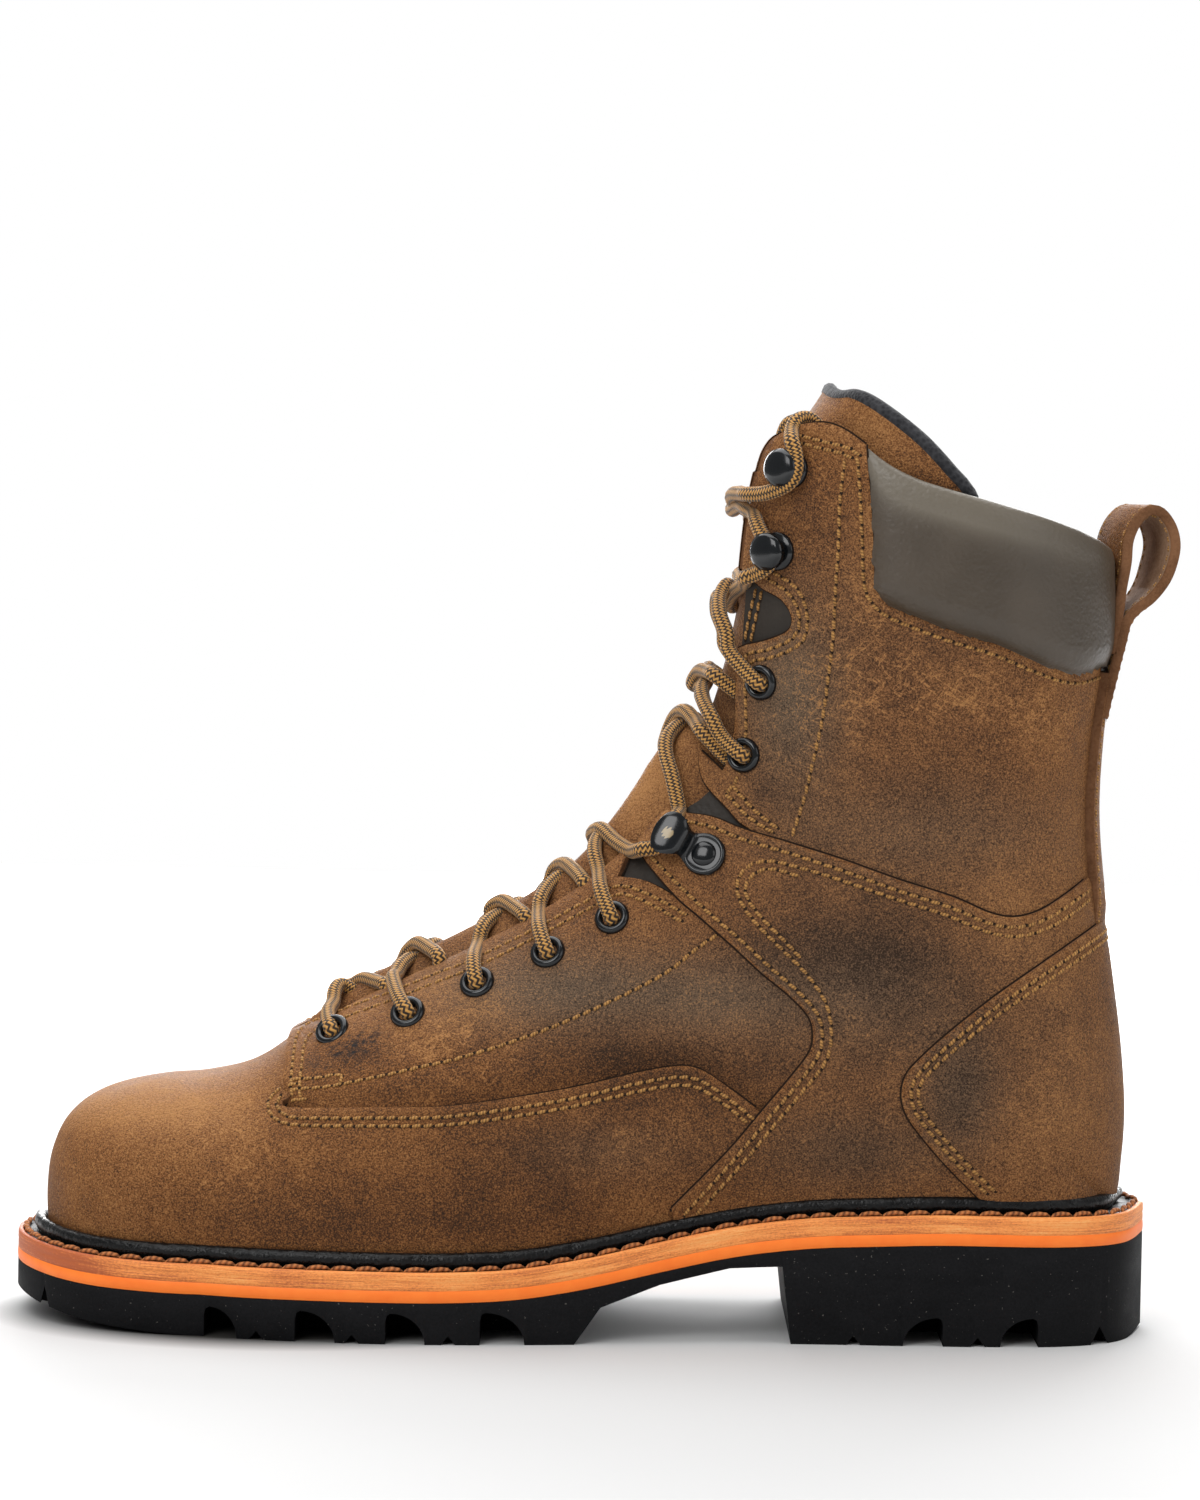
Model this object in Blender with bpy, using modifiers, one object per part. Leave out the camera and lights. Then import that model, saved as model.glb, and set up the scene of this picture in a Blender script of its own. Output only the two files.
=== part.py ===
"""Left work boot: lasted leather upper on a welted lug sole, as separate named pieces.

Sizes are in millimetres in the tables and are scaled to metres as the meshes are made.
The toe points to -X, the outer (lateral) side faces -Y, the inner (medial) side +Y.
"""

import math

import bmesh
import bpy
import numpy as np
from mathutils import Matrix, Vector

MM = 0.001
JOINT = 0.3
WALL = 2.4
UPPER_GAP = 0.5

# The boot is drawn about its heel line, then moved so that its origin is under the middle of its box
SHIFT_X = -0.555
SHIFT_Y = 1.174

# Sole: heights of the welt's top along the boot, and the layers under it
# Columns: x, height
WELT_TOP = (
    (-162.0, 22.4),
    (-140.0, 20.3),
    (-110.0, 19.5),
    (-40.0, 19.5),
    (-20.0, 20.3),
    (0.0, 23.4),
    (20.0, 28.0),
    (40.0, 32.2),
    (60.0, 34.6),
    (95.0, 36.0),
    (156.0, 35.2),
)
WELT_THICK = 4.2
MIDSOLE_THICK = 3.5
WELT_INSIDE = 9.0
INSOLE_THICK = 4.0
INSOLE_GAP = 1.2
WELT_SMOOTHING = 6.0

# How far the sole stands out beyond the upper's lower edge: at its sides, toe and heel
SOLE_MARGIN = (7.2, 8.7, 10.0)

# Underside of the outsole: toe spring, tread plane, arch and heel breast
# Columns: x, height
TREAD = (
    (-161.0, 4.6),
    (-152.0, 2.2),
    (-142.0, 0.6),
    (-134.0, 0.0),
    (-4.0, 0.0),
    (3.0, 10.0),
    (19.0, 16.1),
    (38.0, 20.6),
    (52.4, 21.2),
    (55.0, 0.0),
    (149.0, 0.0),
    (155.0, 1.2),
)
GROOVE_DEPTH = 24.0
GROOVE_SHOULDER = 1.4
GROOVE_FRONT = 0.72
CUT_BELOW = -2.0
CUT_BEYOND = 80.0
# Columns: front x, rear x, height
GROOVES = (
    (-104.5, -95.4, 8.2),
    (-79.5, -68.6, 8.4),
    (-55.0, -44.3, 8.4),
    (-29.5, -17.4, 8.8),
    (85.6, 96.5, 7.8),
    (112.2, 122.6, 7.8),
)
NICK_DEPTH = 6.0
# Columns: x, width, height
NICKS = (
    (-150.0, 5.0, 7.0),
    (-90.0, 4.0, 2.4),
    (-64.0, 4.0, 2.4),
    (-38.0, 4.0, 2.4),
    (72.0, 4.0, 2.6),
    (106.0, 4.0, 2.6),
    (140.0, 5.0, 5.0),
)

# Last: each section is a flat cut from the lower edge or the back (bottom) to the ridge (top).
# edge and full are half-widths at the lower edge and at the widest place, which lies at the
# fraction full_at of the cut; low and top are the powers of the two rounded parts.
# A bottom_z of None follows the welt.
LAST_COLUMNS = (
    "bottom_x", "bottom_z", "top_x", "top_z", "ridge_y",
    "edge_lat", "edge_med", "full_lat", "full_med", "full_at", "low", "top", "crown",
)
LAST = (
    (-105.0, None, -152.0, 22.4, 6.5, 38.5, 43.0, 38.5, 43.0, 0.02, 2.0, 2.10, 0.0),
    (-104.6, None, -152.4, 33.0, 6.5, 38.6, 43.0, 38.8, 43.2, 0.08, 2.0, 2.15, 0.0),
    (-104.0, None, -151.3, 43.5, 6.5, 38.8, 43.1, 39.3, 43.6, 0.12, 2.0, 2.25, 0.0),
    (-103.0, None, -147.8, 52.0, 6.5, 39.1, 43.2, 40.0, 44.1, 0.15, 2.0, 2.35, 0.0),
    (-101.3, None, -141.0, 58.6, 6.4, 39.6, 43.4, 40.8, 44.6, 0.16, 2.0, 2.40, 0.0),
    (-98.8, None, -132.0, 62.4, 6.3, 40.4, 43.7, 41.9, 45.2, 0.17, 2.0, 2.40, 0.0),
    (-95.5, None, -120.5, 64.8, 6.0, 41.4, 44.0, 43.1, 45.7, 0.18, 2.0, 2.40, 0.0),
    (-91.0, None, -108.0, 66.2, 5.7, 42.6, 44.3, 44.3, 46.0, 0.18, 2.0, 2.35, 0.0),
    (-84.0, None, -95.0, 69.8, 5.3, 44.0, 44.5, 45.7, 46.2, 0.18, 2.0, 2.30, 0.0),
    (-74.0, None, -82.0, 78.6, 4.8, 45.3, 44.2, 47.0, 46.0, 0.18, 2.0, 2.20, 0.0),
    (-61.0, None, -67.5, 88.5, 4.3, 46.5, 43.0, 48.2, 45.0, 0.18, 2.0, 2.15, 0.0),
    (-46.0, None, -52.0, 97.0, 3.9, 46.5, 40.8, 48.3, 43.2, 0.18, 2.0, 2.10, 0.0),
    (-28.0, None, -35.0, 106.0, 3.4, 45.0, 36.8, 47.2, 40.2, 0.19, 2.0, 2.10, 0.0),
    (-8.0, None, -18.5, 116.0, 2.9, 42.0, 33.0, 45.0, 37.8, 0.20, 2.0, 2.10, 0.0),
    (14.0, None, -4.5, 127.0, 2.4, 38.0, 30.0, 42.0, 36.0, 0.22, 2.0, 2.10, 0.0),
    (38.0, None, 5.0, 138.0, 1.9, 34.7, 29.0, 39.6, 35.2, 0.24, 2.0, 2.10, 0.0),
    (62.0, None, 11.5, 147.0, 1.4, 33.5, 30.0, 38.2, 35.2, 0.25, 2.0, 2.10, 0.0),
    (86.0, None, 15.7, 153.5, 1.0, 33.5, 31.7, 37.6, 35.8, 0.26, 2.0, 2.10, 0.0),
    (108.0, None, 18.3, 158.5, 0.6, 32.6, 32.0, 37.2, 36.2, 0.27, 2.0, 2.10, 0.0),
    (126.0, None, 20.2, 163.0, 0.2, 30.0, 29.6, 37.0, 36.5, 0.28, 2.0, 2.10, 0.0),
    (138.0, None, 21.6, 167.0, 0.0, 20.8, 20.8, 37.0, 36.7, 0.29, 2.0, 2.10, 0.0),
    (144.5, 36.0, 22.6, 170.5, 0.0, 0.0, 0.0, 37.0, 37.0, 0.30, 2.0, 2.10, 0.0),
    (146.3, 48.0, 23.6, 174.5, 0.0, 0.0, 0.0, 37.0, 37.0, 0.31, 2.0, 2.10, 0.0),
    (146.8, 62.0, 24.8, 179.0, 0.0, 0.0, 0.0, 37.2, 37.2, 0.32, 2.0, 2.10, 0.0),
    (145.3, 80.0, 26.2, 185.0, 0.0, 0.0, 0.0, 37.6, 37.6, 0.34, 2.0, 2.15, 0.0),
    (142.3, 100.0, 27.8, 192.0, 0.0, 0.0, 0.0, 38.2, 38.2, 0.37, 2.1, 2.20, 0.0),
    (138.8, 122.0, 29.4, 200.0, 0.0, 0.0, 0.0, 39.0, 39.0, 0.41, 2.2, 2.20, 0.0),
    (136.7, 144.0, 30.9, 209.0, 0.0, 0.0, 0.0, 40.2, 40.2, 0.44, 2.2, 2.20, 0.0),
    (137.3, 165.0, 32.3, 218.5, 0.0, 0.0, 0.0, 41.6, 41.6, 0.46, 2.2, 2.20, 0.0),
    (139.4, 185.0, 34.0, 228.5, 0.0, 0.0, 0.0, 43.3, 43.3, 0.47, 2.2, 2.20, 0.0),
    (141.3, 203.0, 36.6, 238.5, 0.0, 0.0, 0.0, 44.8, 44.8, 0.48, 2.2, 2.20, 3.5),
    (142.0, 220.0, 40.5, 248.5, 0.0, 0.0, 0.0, 46.0, 46.0, 0.48, 2.2, 2.20, 7.5),
    (142.5, 237.0, 52.0, 263.0, 0.0, 0.0, 0.0, 47.0, 47.0, 0.48, 2.2, 2.20, 9.0),
)
CROWN_AT = 0.80
CROWN_SPREAD = 0.13
HEEL_SECTION = 21
COLLAR_SECTION = 31

# Throat: half the gap between the two lace facings, along the sections
# Columns: section, half gap
THROAT = (
    (9.0, 0.0),
    (9.5, 9.0),
    (10.0, 11.0),
    (12.0, 13.0),
    (14.0, 15.5),
    (16.0, 18.0),
    (18.0, 19.5),
    (21.0, 20.0),
    (31.0, 21.0),
)
# Rows of facets along the upper: first section, last section and number of steps
SECTION_RUNS = ((0.0, 9.0, 18), (9.0, 21.0, 18), (21.0, 29.0, 12), (29.0, 31.0, 3))
GIRTH_STEPS = 8

# Rand: half-round bead, as distance out from the upper's edge and height over the welt
RAND_PROFILE = ((0.6, 0.3), (3.4, 0.3), (4.1, 1.9), (3.8, 3.6), (3.0, 4.5), (2.2, 4.3))
LOOP_STEPS = 60
SLAB_STEPS = 34

# Heel counter: front edge in side view, from the back down to the welt
# Columns: x, z
COUNTER_OUTLINE = (
    (160.0, 118.0),
    (138.0, 113.5),
    (124.0, 105.0),
    (100.0, 87.0),
    (86.0, 75.5),
    (81.5, 68.0),
    (84.0, 59.0),
    (94.0, 48.0),
    (103.0, 38.8),
    (160.0, 38.8),
)
COUNTER_SECTIONS = (16.5, 26.5)
COUNTER_GAP = 0.4
COUNTER_THICK = 1.7
COUNTER_FOOT = 5.4
COUNTER_REACH = 60.0

# Collar pad: sections that it covers and how far round it reaches from the back
PAD_SECTIONS = (29.0, 31.0)
PAD_GIRTH_STEPS = 5
PAD_THICK = 3.0

# Tongue: lower end, top edge at the middle and at the wing, and its half-width
TONGUE_GAP = 0.9
TONGUE_THICK = 3.6
TONGUE_BOTTOM = 8.2
TONGUE_TOP = 32.0
TONGUE_WING_TOP = 31.0
# Columns: section, half-width
TONGUE_WIDTH = (
    (8.2, 14.0),
    (12.0, 22.0),
    (15.0, 26.0),
    (18.0, 29.0),
    (24.0, 33.0),
    (29.0, 38.0),
    (32.0, 43.0),
)
TONGUE_ROWS = 19
TONGUE_STEPS = 5

# Pull loop: sewn strip up the back, and the loop above it, as side-view lines
STRAP_THICK = 2.4
STRAP_WIDTH = 22.0
# Columns: x, z
STRIP_LINE = (
    (140.3, 124.0),
    (138.4, 146.0),
    (139.0, 166.0),
    (140.9, 178.5),
    (146.0, 184.5),
    (147.2, 193.0),
    (147.3, 200.0),
)
LOOP_LINE = (
    (147.2, 196.0),
    (147.3, 208.0),
    (147.6, 220.0),
    (149.4, 228.0),
    (153.2, 230.6),
    (157.4, 228.6),
    (160.0, 222.6),
    (159.6, 214.4),
    (156.4, 207.0),
    (151.6, 200.4),
)

# Lace hardware, by side-view place on the outer face of each facing; the profiles are
# (radius, height), and the ankle hook's is (along, height)
# Columns: x, z
EYELETS = (
    (-71.8, 80.5),
    (-51.0, 86.9),
    (-32.1, 95.3),
    (-13.1, 104.3),
    (4.4, 114.2),
    (39.3, 159.4),
    (43.6, 179.4),
)
EYELET_LIFT = 0.45
EYELET_PROFILE = ((2.6, 1.5), (4.5, 1.3), (4.9, 0.0), (2.6, 0.0))
EYELET_STEPS = 10
STUDS = ((47.5, 215.5), (50.6, 237.7))
STUD_LIFT = 0.2
STUD_PROFILE = (
    (0.0, 7.0), (2.8, 6.6), (4.6, 5.4), (4.6, 4.8), (2.1, 4.4),
    (2.1, 1.4), (5.1, 0.9), (5.1, 0.0), (0.0, 0.0),
)
STUD_STEPS = 10
ANKLE_HOOK = (29.4, 131.8)
ANKLE_HOOK_TURN = 151.0
ANKLE_HOOK_WIDTH = 8.4
ANKLE_HOOK_PROFILE = (
    (-5.0, 0.0), (3.4, 0.0), (5.0, 1.2), (6.6, 5.0), (13.6, 5.8),
    (13.6, 7.2), (5.4, 6.6), (2.4, 2.2), (-5.0, 1.5),
)
HOOK_BEVEL = 0.5

# Lace: round cord laid crosswise over the throat between neighbouring rows of hardware
LACE_RADIUS = 2.1
LACE_LIFTS = {-1: 2.8, 1: 3.6}
LACE_END_LIFT = -0.6
LACE_SIDES = 6
TUBE_GUIDE = Vector((0.3, 0.1, 1.0))
LACE_POINTS = 6
LACE_START = 6.2
LACE_END_GAP = 4.5
# Part of the way between two rows that a strand covers, and where its end starts to dip
LACE_FROM = 0.12
LACE_TO = 0.74
LACE_DIP = 0.6

# Finishes: colour, roughness, metallic
FINISHES = {
    "rubber": ((0.012, 0.012, 0.013), 0.75, 0.0),
    "orange_rubber": ((0.85, 0.16, 0.02), 0.5, 0.0),
    "tan_welt": ((0.42, 0.18, 0.06), 0.6, 0.0),
    "black_rand": ((0.01, 0.01, 0.01), 0.35, 0.0),
    "insole_board": ((0.10, 0.09, 0.08), 0.9, 0.0),
    "brown_leather": ((0.13, 0.062, 0.026), 0.65, 0.0),
    "collar_leather": ((0.05, 0.04, 0.028), 0.5, 0.0),
    "black_enamel": ((0.01, 0.01, 0.012), 0.25, 0.3),
    "lace_cord": ((0.30, 0.17, 0.05), 0.8, 0.0),
}


# Scene set-up

def clear_scene():
    """Remove every object that is in the scene."""
    for old in list(bpy.data.objects):
        bpy.data.objects.remove(old, do_unlink=True)


def new_collection(name):
    group = bpy.data.collections.new(name)
    bpy.context.scene.collection.children.link(group)
    return group


def finish(name):
    """Principled material of one finish, made once."""
    if name in bpy.data.materials:
        return bpy.data.materials[name]
    colour, roughness, metallic = FINISHES[name]
    material = bpy.data.materials.new(name)
    material.use_nodes = True
    shader = material.node_tree.nodes["Principled BSDF"]
    shader.inputs["Base Color"].default_value = (*colour, 1.0)
    shader.inputs["Roughness"].default_value = roughness
    shader.inputs["Metallic"].default_value = metallic
    material.diffuse_color = (*colour, 1.0)
    return material


def add_object(name, mesh, finish_name):
    """Link a mesh as a part under the boot's empty."""
    mesh.materials.append(finish(finish_name))
    mesh.shade_smooth()
    mesh.set_sharp_from_angle(angle=math.radians(40))
    part = bpy.data.objects.new(name, mesh)
    PARTS.objects.link(part)
    part.parent = BOOT
    return part


def add_cutter(name, mesh):
    cutter = bpy.data.objects.new(name, mesh)
    CUTTERS.objects.link(cutter)
    cutter.parent = BOOT
    cutter.hide_render = True
    cutter.display_type = "WIRE"
    return cutter


def mesh_from(name, points, faces, turn_faces=True):
    """Mesh in metres from points in millimetres, with doubles merged."""
    bm = bmesh.new()
    verts = [bm.verts.new(Vector(p) * MM) for p in points]
    for face in faces:
        corners = [verts[i] for i in face]
        if len(set(corners)) > 2:
            bm.faces.new(corners)
    bmesh.ops.remove_doubles(bm, verts=bm.verts, dist=1e-6)
    if turn_faces:
        bmesh.ops.recalc_face_normals(bm, faces=bm.faces)
    mesh = bpy.data.meshes.new(name)
    bm.to_mesh(mesh)
    bm.free()
    return mesh


def boolean(part, operation, other):
    cut = part.modifiers.new(operation.lower(), "BOOLEAN")
    cut.operation = operation
    cut.object = other
    cut.solver = "EXACT"


# Last and upper surface

def lookup(table, x):
    """Second column of a two-column table at x, by straight lines between its rows."""
    rows = np.array(table, float)
    return np.interp(x, rows[:, 0], rows[:, 1])


def smooth_lookup(table, x):
    """Like lookup, with the corners of the line rounded off."""
    shifts = (-WELT_SMOOTHING, 0.0, WELT_SMOOTHING)
    return sum(lookup(table, np.asarray(x) + d) for d in shifts) / len(shifts)


def welt_top(x):
    return smooth_lookup(WELT_TOP, x)


def last_table():
    """Section table with the lower edge's height filled in from the welt."""
    rows = []
    for row in LAST:
        row = list(row)
        if row[1] is None:
            row[1] = float(welt_top(row[0])) + UPPER_GAP
        rows.append(row)
    return np.array(rows, float)


def section(s):
    """Columns of the last at section number s, smoothly between the table's rows."""
    s = np.clip(np.asarray(s, float), 0.0, len(LAST_ROWS) - 1.0)
    i = np.clip(np.floor(s).astype(int), 0, len(LAST_ROWS) - 2)
    f = (s - i)[..., None]
    last = len(LAST_ROWS) - 1
    p0, p1 = LAST_ROWS[np.maximum(i - 1, 0)], LAST_ROWS[i]
    p2, p3 = LAST_ROWS[i + 1], LAST_ROWS[np.minimum(i + 2, last)]
    value = p1 + 0.5 * f * (p2 - p0 + f * (2 * p0 - 5 * p1 + 4 * p2 - p3 + f * (3 * (p1 - p2) + p3 - p0)))
    return {name: value[..., k] for k, name in enumerate(LAST_COLUMNS)}


def half_widths(row, side):
    """Half-width from the ridge line at the widest place and at the lower edge."""
    if side < 0:
        return row["full_lat"] + row["ridge_y"], np.maximum(row["edge_lat"], 0.0) + row["ridge_y"]
    return row["full_med"] - row["ridge_y"], np.maximum(row["edge_med"], 0.0) - row["ridge_y"]


def upper_point(s, t, side):
    """Point of the upper's outer face: section s, fraction t up the cut, side -1 outer or +1 inner."""
    row = section(s)
    t = np.asarray(t, float)
    full, edge = half_widths(row, side)
    closing = 1.0 - np.clip(edge / full, 0.0, 1.0) ** row["low"]
    below = np.clip(1.0 - t / row["full_at"], 0.0, 1.0)
    above = np.clip((t - row["full_at"]) / (1.0 - row["full_at"]), 0.0, 1.0)
    low = np.clip(1.0 - closing * below ** row["low"], 0.0, 1.0) ** (1.0 / row["low"])
    top = np.clip(1.0 - above ** row["top"], 0.0, 1.0) ** (1.0 / row["top"])
    x = row["bottom_x"] + (row["top_x"] - row["bottom_x"]) * t
    z = row["bottom_z"] + (row["top_z"] - row["bottom_z"]) * t
    z = z + row["crown"] * np.exp(-(((t - CROWN_AT) / CROWN_SPREAD) ** 2))
    y = row["ridge_y"] + side * full * low * top
    return np.stack(np.broadcast_arrays(x, y, z), axis=-1)


def height_at_width(s, side, width):
    """Fraction up the cut, on its upper part, where the half-width has shrunk to this."""
    row = section(s)
    full, _ = half_widths(row, side)
    ratio = np.clip(np.asarray(width) / full, 0.0, 1.0)
    return row["full_at"] + (1.0 - row["full_at"]) * (1.0 - ratio ** row["top"]) ** (1.0 / row["top"])


def throat_edge(s, side):
    """Fraction up the cut where the upper stops: the ridge, or the edge of the lace facing."""
    return height_at_width(s, side, lookup(THROAT, s))


def outward(s, t, side):
    """Unit normal of the upper's outer face."""
    step = 0.02
    along = upper_point(s + step, t, side) - upper_point(s - step, t, side)
    up = upper_point(s, t + step * 0.2, side) - upper_point(s, t - step * 0.2, side)
    normal = -side * np.cross(along, up)
    return normal / np.linalg.norm(normal, axis=-1, keepdims=True)


def ridge_normal(s, width, side):
    """Outward direction at a half-width near the ridge, where the two sides' normals meet."""
    clear = 9.0
    normal = outward(s, height_at_width(s, side, max(width, clear)), side)
    normal[1] *= min(width / clear, 1.0)
    return Vector(normal).normalized()


def locate(x, z):
    """Section and fraction of the outer side's point that has this place in side view."""
    s, t = np.meshgrid(np.linspace(0, len(LAST) - 1.0, 1280), np.linspace(0.02, 0.995, 200), indexing="ij")
    points = upper_point(s, t, -1)
    best = np.argmin((points[..., 0] - x) ** 2 + (points[..., 2] - z) ** 2)
    return s.flat[best], t.flat[best]


def girth(steps=GIRTH_STEPS):
    """Fractions from the bottom to the top of a half section, closer together at its ends."""
    return 0.5 - 0.5 * np.cos(np.linspace(0.0, math.pi, steps + 1))


def skin(name, sections, fractions, lift=0.0):
    """Open surface over both sides of the upper, between sections, lifted off along its normals.

    fractions gives, for a section and a side, the fractions up the cut.
    """
    points, faces = [], []
    for side in (-1, 1):
        first = len(points)
        for s in sections:
            points.extend(upper_point(s, fractions(s, side), side))
        across = (len(points) - first) // len(sections)
        for i in range(len(sections) - 1):
            for j in range(across - 1):
                a = first + i * across + j
                for triangle in ((a, a + across, a + across + 1), (a, a + across + 1, a + 1)):
                    faces.append(triangle if side < 0 else triangle[::-1])
    mesh = mesh_from(name, points, faces, turn_faces=False)
    if lift:
        normals = [v.normal.copy() for v in mesh.vertices]
        for vert, normal in zip(mesh.vertices, normals):
            vert.co += normal * lift * MM
    return mesh


def solidify(part, thickness, offset):
    wall = part.modifiers.new("wall", "SOLIDIFY")
    wall.thickness = thickness * MM
    wall.offset = offset
    wall.use_even_offset = True


def sections_between(first, last):
    """Section numbers of the upper's rows of facets between two sections."""
    runs = [np.linspace(a, b, steps + 1) for a, b, steps in SECTION_RUNS]
    every = np.unique(np.round(np.concatenate(runs), 6))
    return [s for s in every if first - 1e-6 <= s <= last + 1e-6]


def upper_fractions(s, side):
    return throat_edge(s, side) * girth()


def make_upper():
    mesh = skin("upper", sections_between(0.0, COLLAR_SECTION), upper_fractions)
    part = add_object("upper", mesh, "brown_leather")
    solidify(part, WALL, -1.0)


def make_collar_pad():
    sections = sections_between(*PAD_SECTIONS)

    def fractions(s, side):
        return upper_fractions(s, side)[:PAD_GIRTH_STEPS + 1]

    part = add_object("collar_pad", skin("collar_pad", sections, fractions, JOINT), "collar_leather")
    solidify(part, PAD_THICK, 1.0)


def make_heel_counter():
    sections = sections_between(*COUNTER_SECTIONS)

    def fractions(s, side):
        return upper_fractions(s, side)[:GIRTH_STEPS]

    part = add_object("heel_counter", skin("heel_counter", sections, fractions, COUNTER_GAP), "brown_leather")
    solidify(part, COUNTER_THICK, 1.0)
    outline = [(x, max(z, float(welt_top(x)) + COUNTER_FOOT)) for x, z in COUNTER_OUTLINE]
    prism = side_prism("counter_outline", outline, -COUNTER_REACH, COUNTER_REACH)
    boolean(part, "INTERSECT", add_cutter("counter_outline", prism))


def make_tongue():
    """Wide tongue behind the throat, inside the upper's wall, with its wings falling to the collar."""
    points, faces = [], []
    columns = np.linspace(-1.0, 1.0, 2 * TONGUE_STEPS + 1)
    for v in np.linspace(0.0, 1.0, TONGUE_ROWS):
        for c in columns:
            side = -1 if c < 0 else 1
            top = TONGUE_TOP + (TONGUE_WING_TOP - TONGUE_TOP) * abs(c) ** 1.5
            s = TONGUE_BOTTOM + (top - TONGUE_BOTTOM) * v
            width = abs(c) * lookup(TONGUE_WIDTH, s)
            points.append(upper_point(s, height_at_width(s, side, width), side))
    across = len(columns)
    for i in range(TONGUE_ROWS - 1):
        for j in range(across - 1):
            a = i * across + j
            faces.append((a, a + across, a + across + 1, a + 1))
    mesh = mesh_from("tongue", points, faces, turn_faces=False)
    for vert, normal in zip(mesh.vertices, [v.normal.copy() for v in mesh.vertices]):
        vert.co -= normal * (WALL + TONGUE_GAP) * MM
    part = add_object("tongue", mesh, "brown_leather")
    solidify(part, TONGUE_THICK, -1.0)


# Sole

def edge_loop():
    """Lower edge of the upper: from the heel along the inner side, round the toe and back outside."""
    s = np.arange(HEEL_SECTION, 0.0, -0.25)
    t = np.linspace(0.0, 1.0, 40)
    parts = (
        upper_point(s, 0.0 * s, 1),
        upper_point(0.0 * t, t, 1),
        upper_point(0.0 * t[::-1], t[::-1], -1)[1:],
        upper_point(s[::-1], 0.0 * s, -1)[:-1],
    )
    return np.concatenate(parts)[:, :2]


def even_loop(loop, count):
    """Closed plan loop with its points spread along it, closer together where it turns."""
    closed = np.vstack([loop, loop[:1]])
    step = np.diff(closed, axis=0)
    length = np.linalg.norm(step, axis=1)
    heading = np.unwrap(np.arctan2(step[:, 1], step[:, 0]))
    turn = np.abs(np.diff(np.append(heading, heading[0] + np.sign(heading[-1] - heading[0]) * 2 * math.pi)))
    turn = np.convolve(np.concatenate([turn[-4:], turn, turn[:4]]), np.ones(9) / 9, "valid")
    run = np.concatenate([[0.0], np.cumsum(length / length.sum() + turn / turn.sum())])
    at = np.linspace(0.0, run[-1], count, endpoint=False)
    return np.stack([np.interp(at, run, closed[:, k]) for k in (0, 1)], axis=1)


def offset_loop(margin, count=LOOP_STEPS):
    """The upper's lower edge moved outwards in plan; margin is a number or (sides, toe, heel)."""
    loop = even_loop(edge_loop(), count)
    ahead = np.roll(loop, -1, axis=0) - np.roll(loop, 1, axis=0)
    normal = np.stack([-ahead[:, 1], ahead[:, 0]], axis=1)
    normal /= np.linalg.norm(normal, axis=1, keepdims=True)
    centre = loop.mean(axis=0)
    if np.sum(normal * (loop - centre)) < 0:
        normal = -normal
    if np.isscalar(margin):
        return loop + normal * margin
    sides, toe, heel = margin
    forward = np.clip(-normal[:, :1], 0.0, 1.0) ** 2
    backward = np.clip(normal[:, :1], 0.0, 1.0) ** 2
    return loop + normal * (sides + (toe - sides) * forward + (heel - sides) * backward)


def sides_of(loop, stations):
    """Outer and inner y of a plan loop at x stations between its two ends."""
    toe, heel = np.argmin(loop[:, 0]), np.argmax(loop[:, 0])
    ordered = np.roll(loop, -heel, axis=0)
    toe = (toe - heel) % len(loop)
    inner, outer = ordered[:toe + 1][::-1], np.vstack([ordered[toe:], ordered[:1]])
    return (np.interp(stations, outer[:, 0], outer[:, 1]), np.interp(stations, inner[:, 0], inner[:, 1]))


def slab(name, loop, top, bottom, breaks=()):
    """Closed plate with a plan outline, whose top and bottom heights depend on x."""
    low, high = loop[:, 0].min(), loop[:, 0].max()
    even = low + (high - low) * (0.5 - 0.5 * np.cos(np.linspace(0, math.pi, SLAB_STEPS + 1)))
    near = [x for x in even if all(abs(x - b) > 1.0 for b in breaks)]
    stations = np.array(sorted(near + [b for b in breaks if low < b < high]))
    outer, inner = sides_of(loop, stations)
    rings = []
    for x, y0, y1 in zip(stations, outer, inner):
        z1, z0 = float(top(x)), float(bottom(x))
        rings.append(((x, y0, z0), (x, y1, z0), (x, y1, z1), (x, y0, z1)))
    points = [p for ring in rings for p in ring]
    faces = []
    for i in range(len(rings) - 1):
        for j in range(4):
            k = (j + 1) % 4
            faces.append((4 * i + j, 4 * i + k, 4 * i + 4 + k, 4 * i + 4 + j))
    faces.append((0, 1, 2, 3))
    end = 4 * (len(rings) - 1)
    faces.append((end, end + 1, end + 2, end + 3))
    return mesh_from(name, points, faces)


def ring(name, profile, count=LOOP_STEPS):
    """Closed band round the boot; profile gives its corners as (margin, height over the welt)."""
    loops = [(offset_loop(margin, count), height) for margin, height in profile]
    points, faces = [], []
    for i in range(count):
        for loop, height in loops:
            x, y = loop[i]
            points.append((x, y, float(welt_top(x)) + height))
    corners = len(profile)
    for i in range(count):
        for j in range(corners):
            a, b = i * corners, ((i + 1) % count) * corners
            k = (j + 1) % corners
            faces.append((a + j, a + k, b + k, b + j))
    return mesh_from(name, points, faces)


def side_prism(name, outline, y0, y1):
    """Closed prism of a side-view outline, between two planes across the boot."""
    count = len(outline)
    points = [(x, y, z) for y in (y0, y1) for x, z in outline]
    faces = [(i, (i + 1) % count, count + (i + 1) % count, count + i) for i in range(count)]
    faces += [tuple(range(count)), tuple(range(count, 2 * count))]
    return mesh_from(name, points, faces)


def groove_outline(front, rear, height):
    """Side view of a groove between lugs: steep in front, a round sweep behind."""
    arc = []
    sweep = front + GROOVE_SHOULDER
    for k in range(5):
        a = math.radians(90.0 * k / 4)
        arc.append((sweep + (rear - sweep) * math.sin(a), height * math.cos(a)))
    return [(front, CUT_BELOW), (front, height * GROOVE_FRONT)] + arc + [(rear, CUT_BELOW)]


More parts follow.
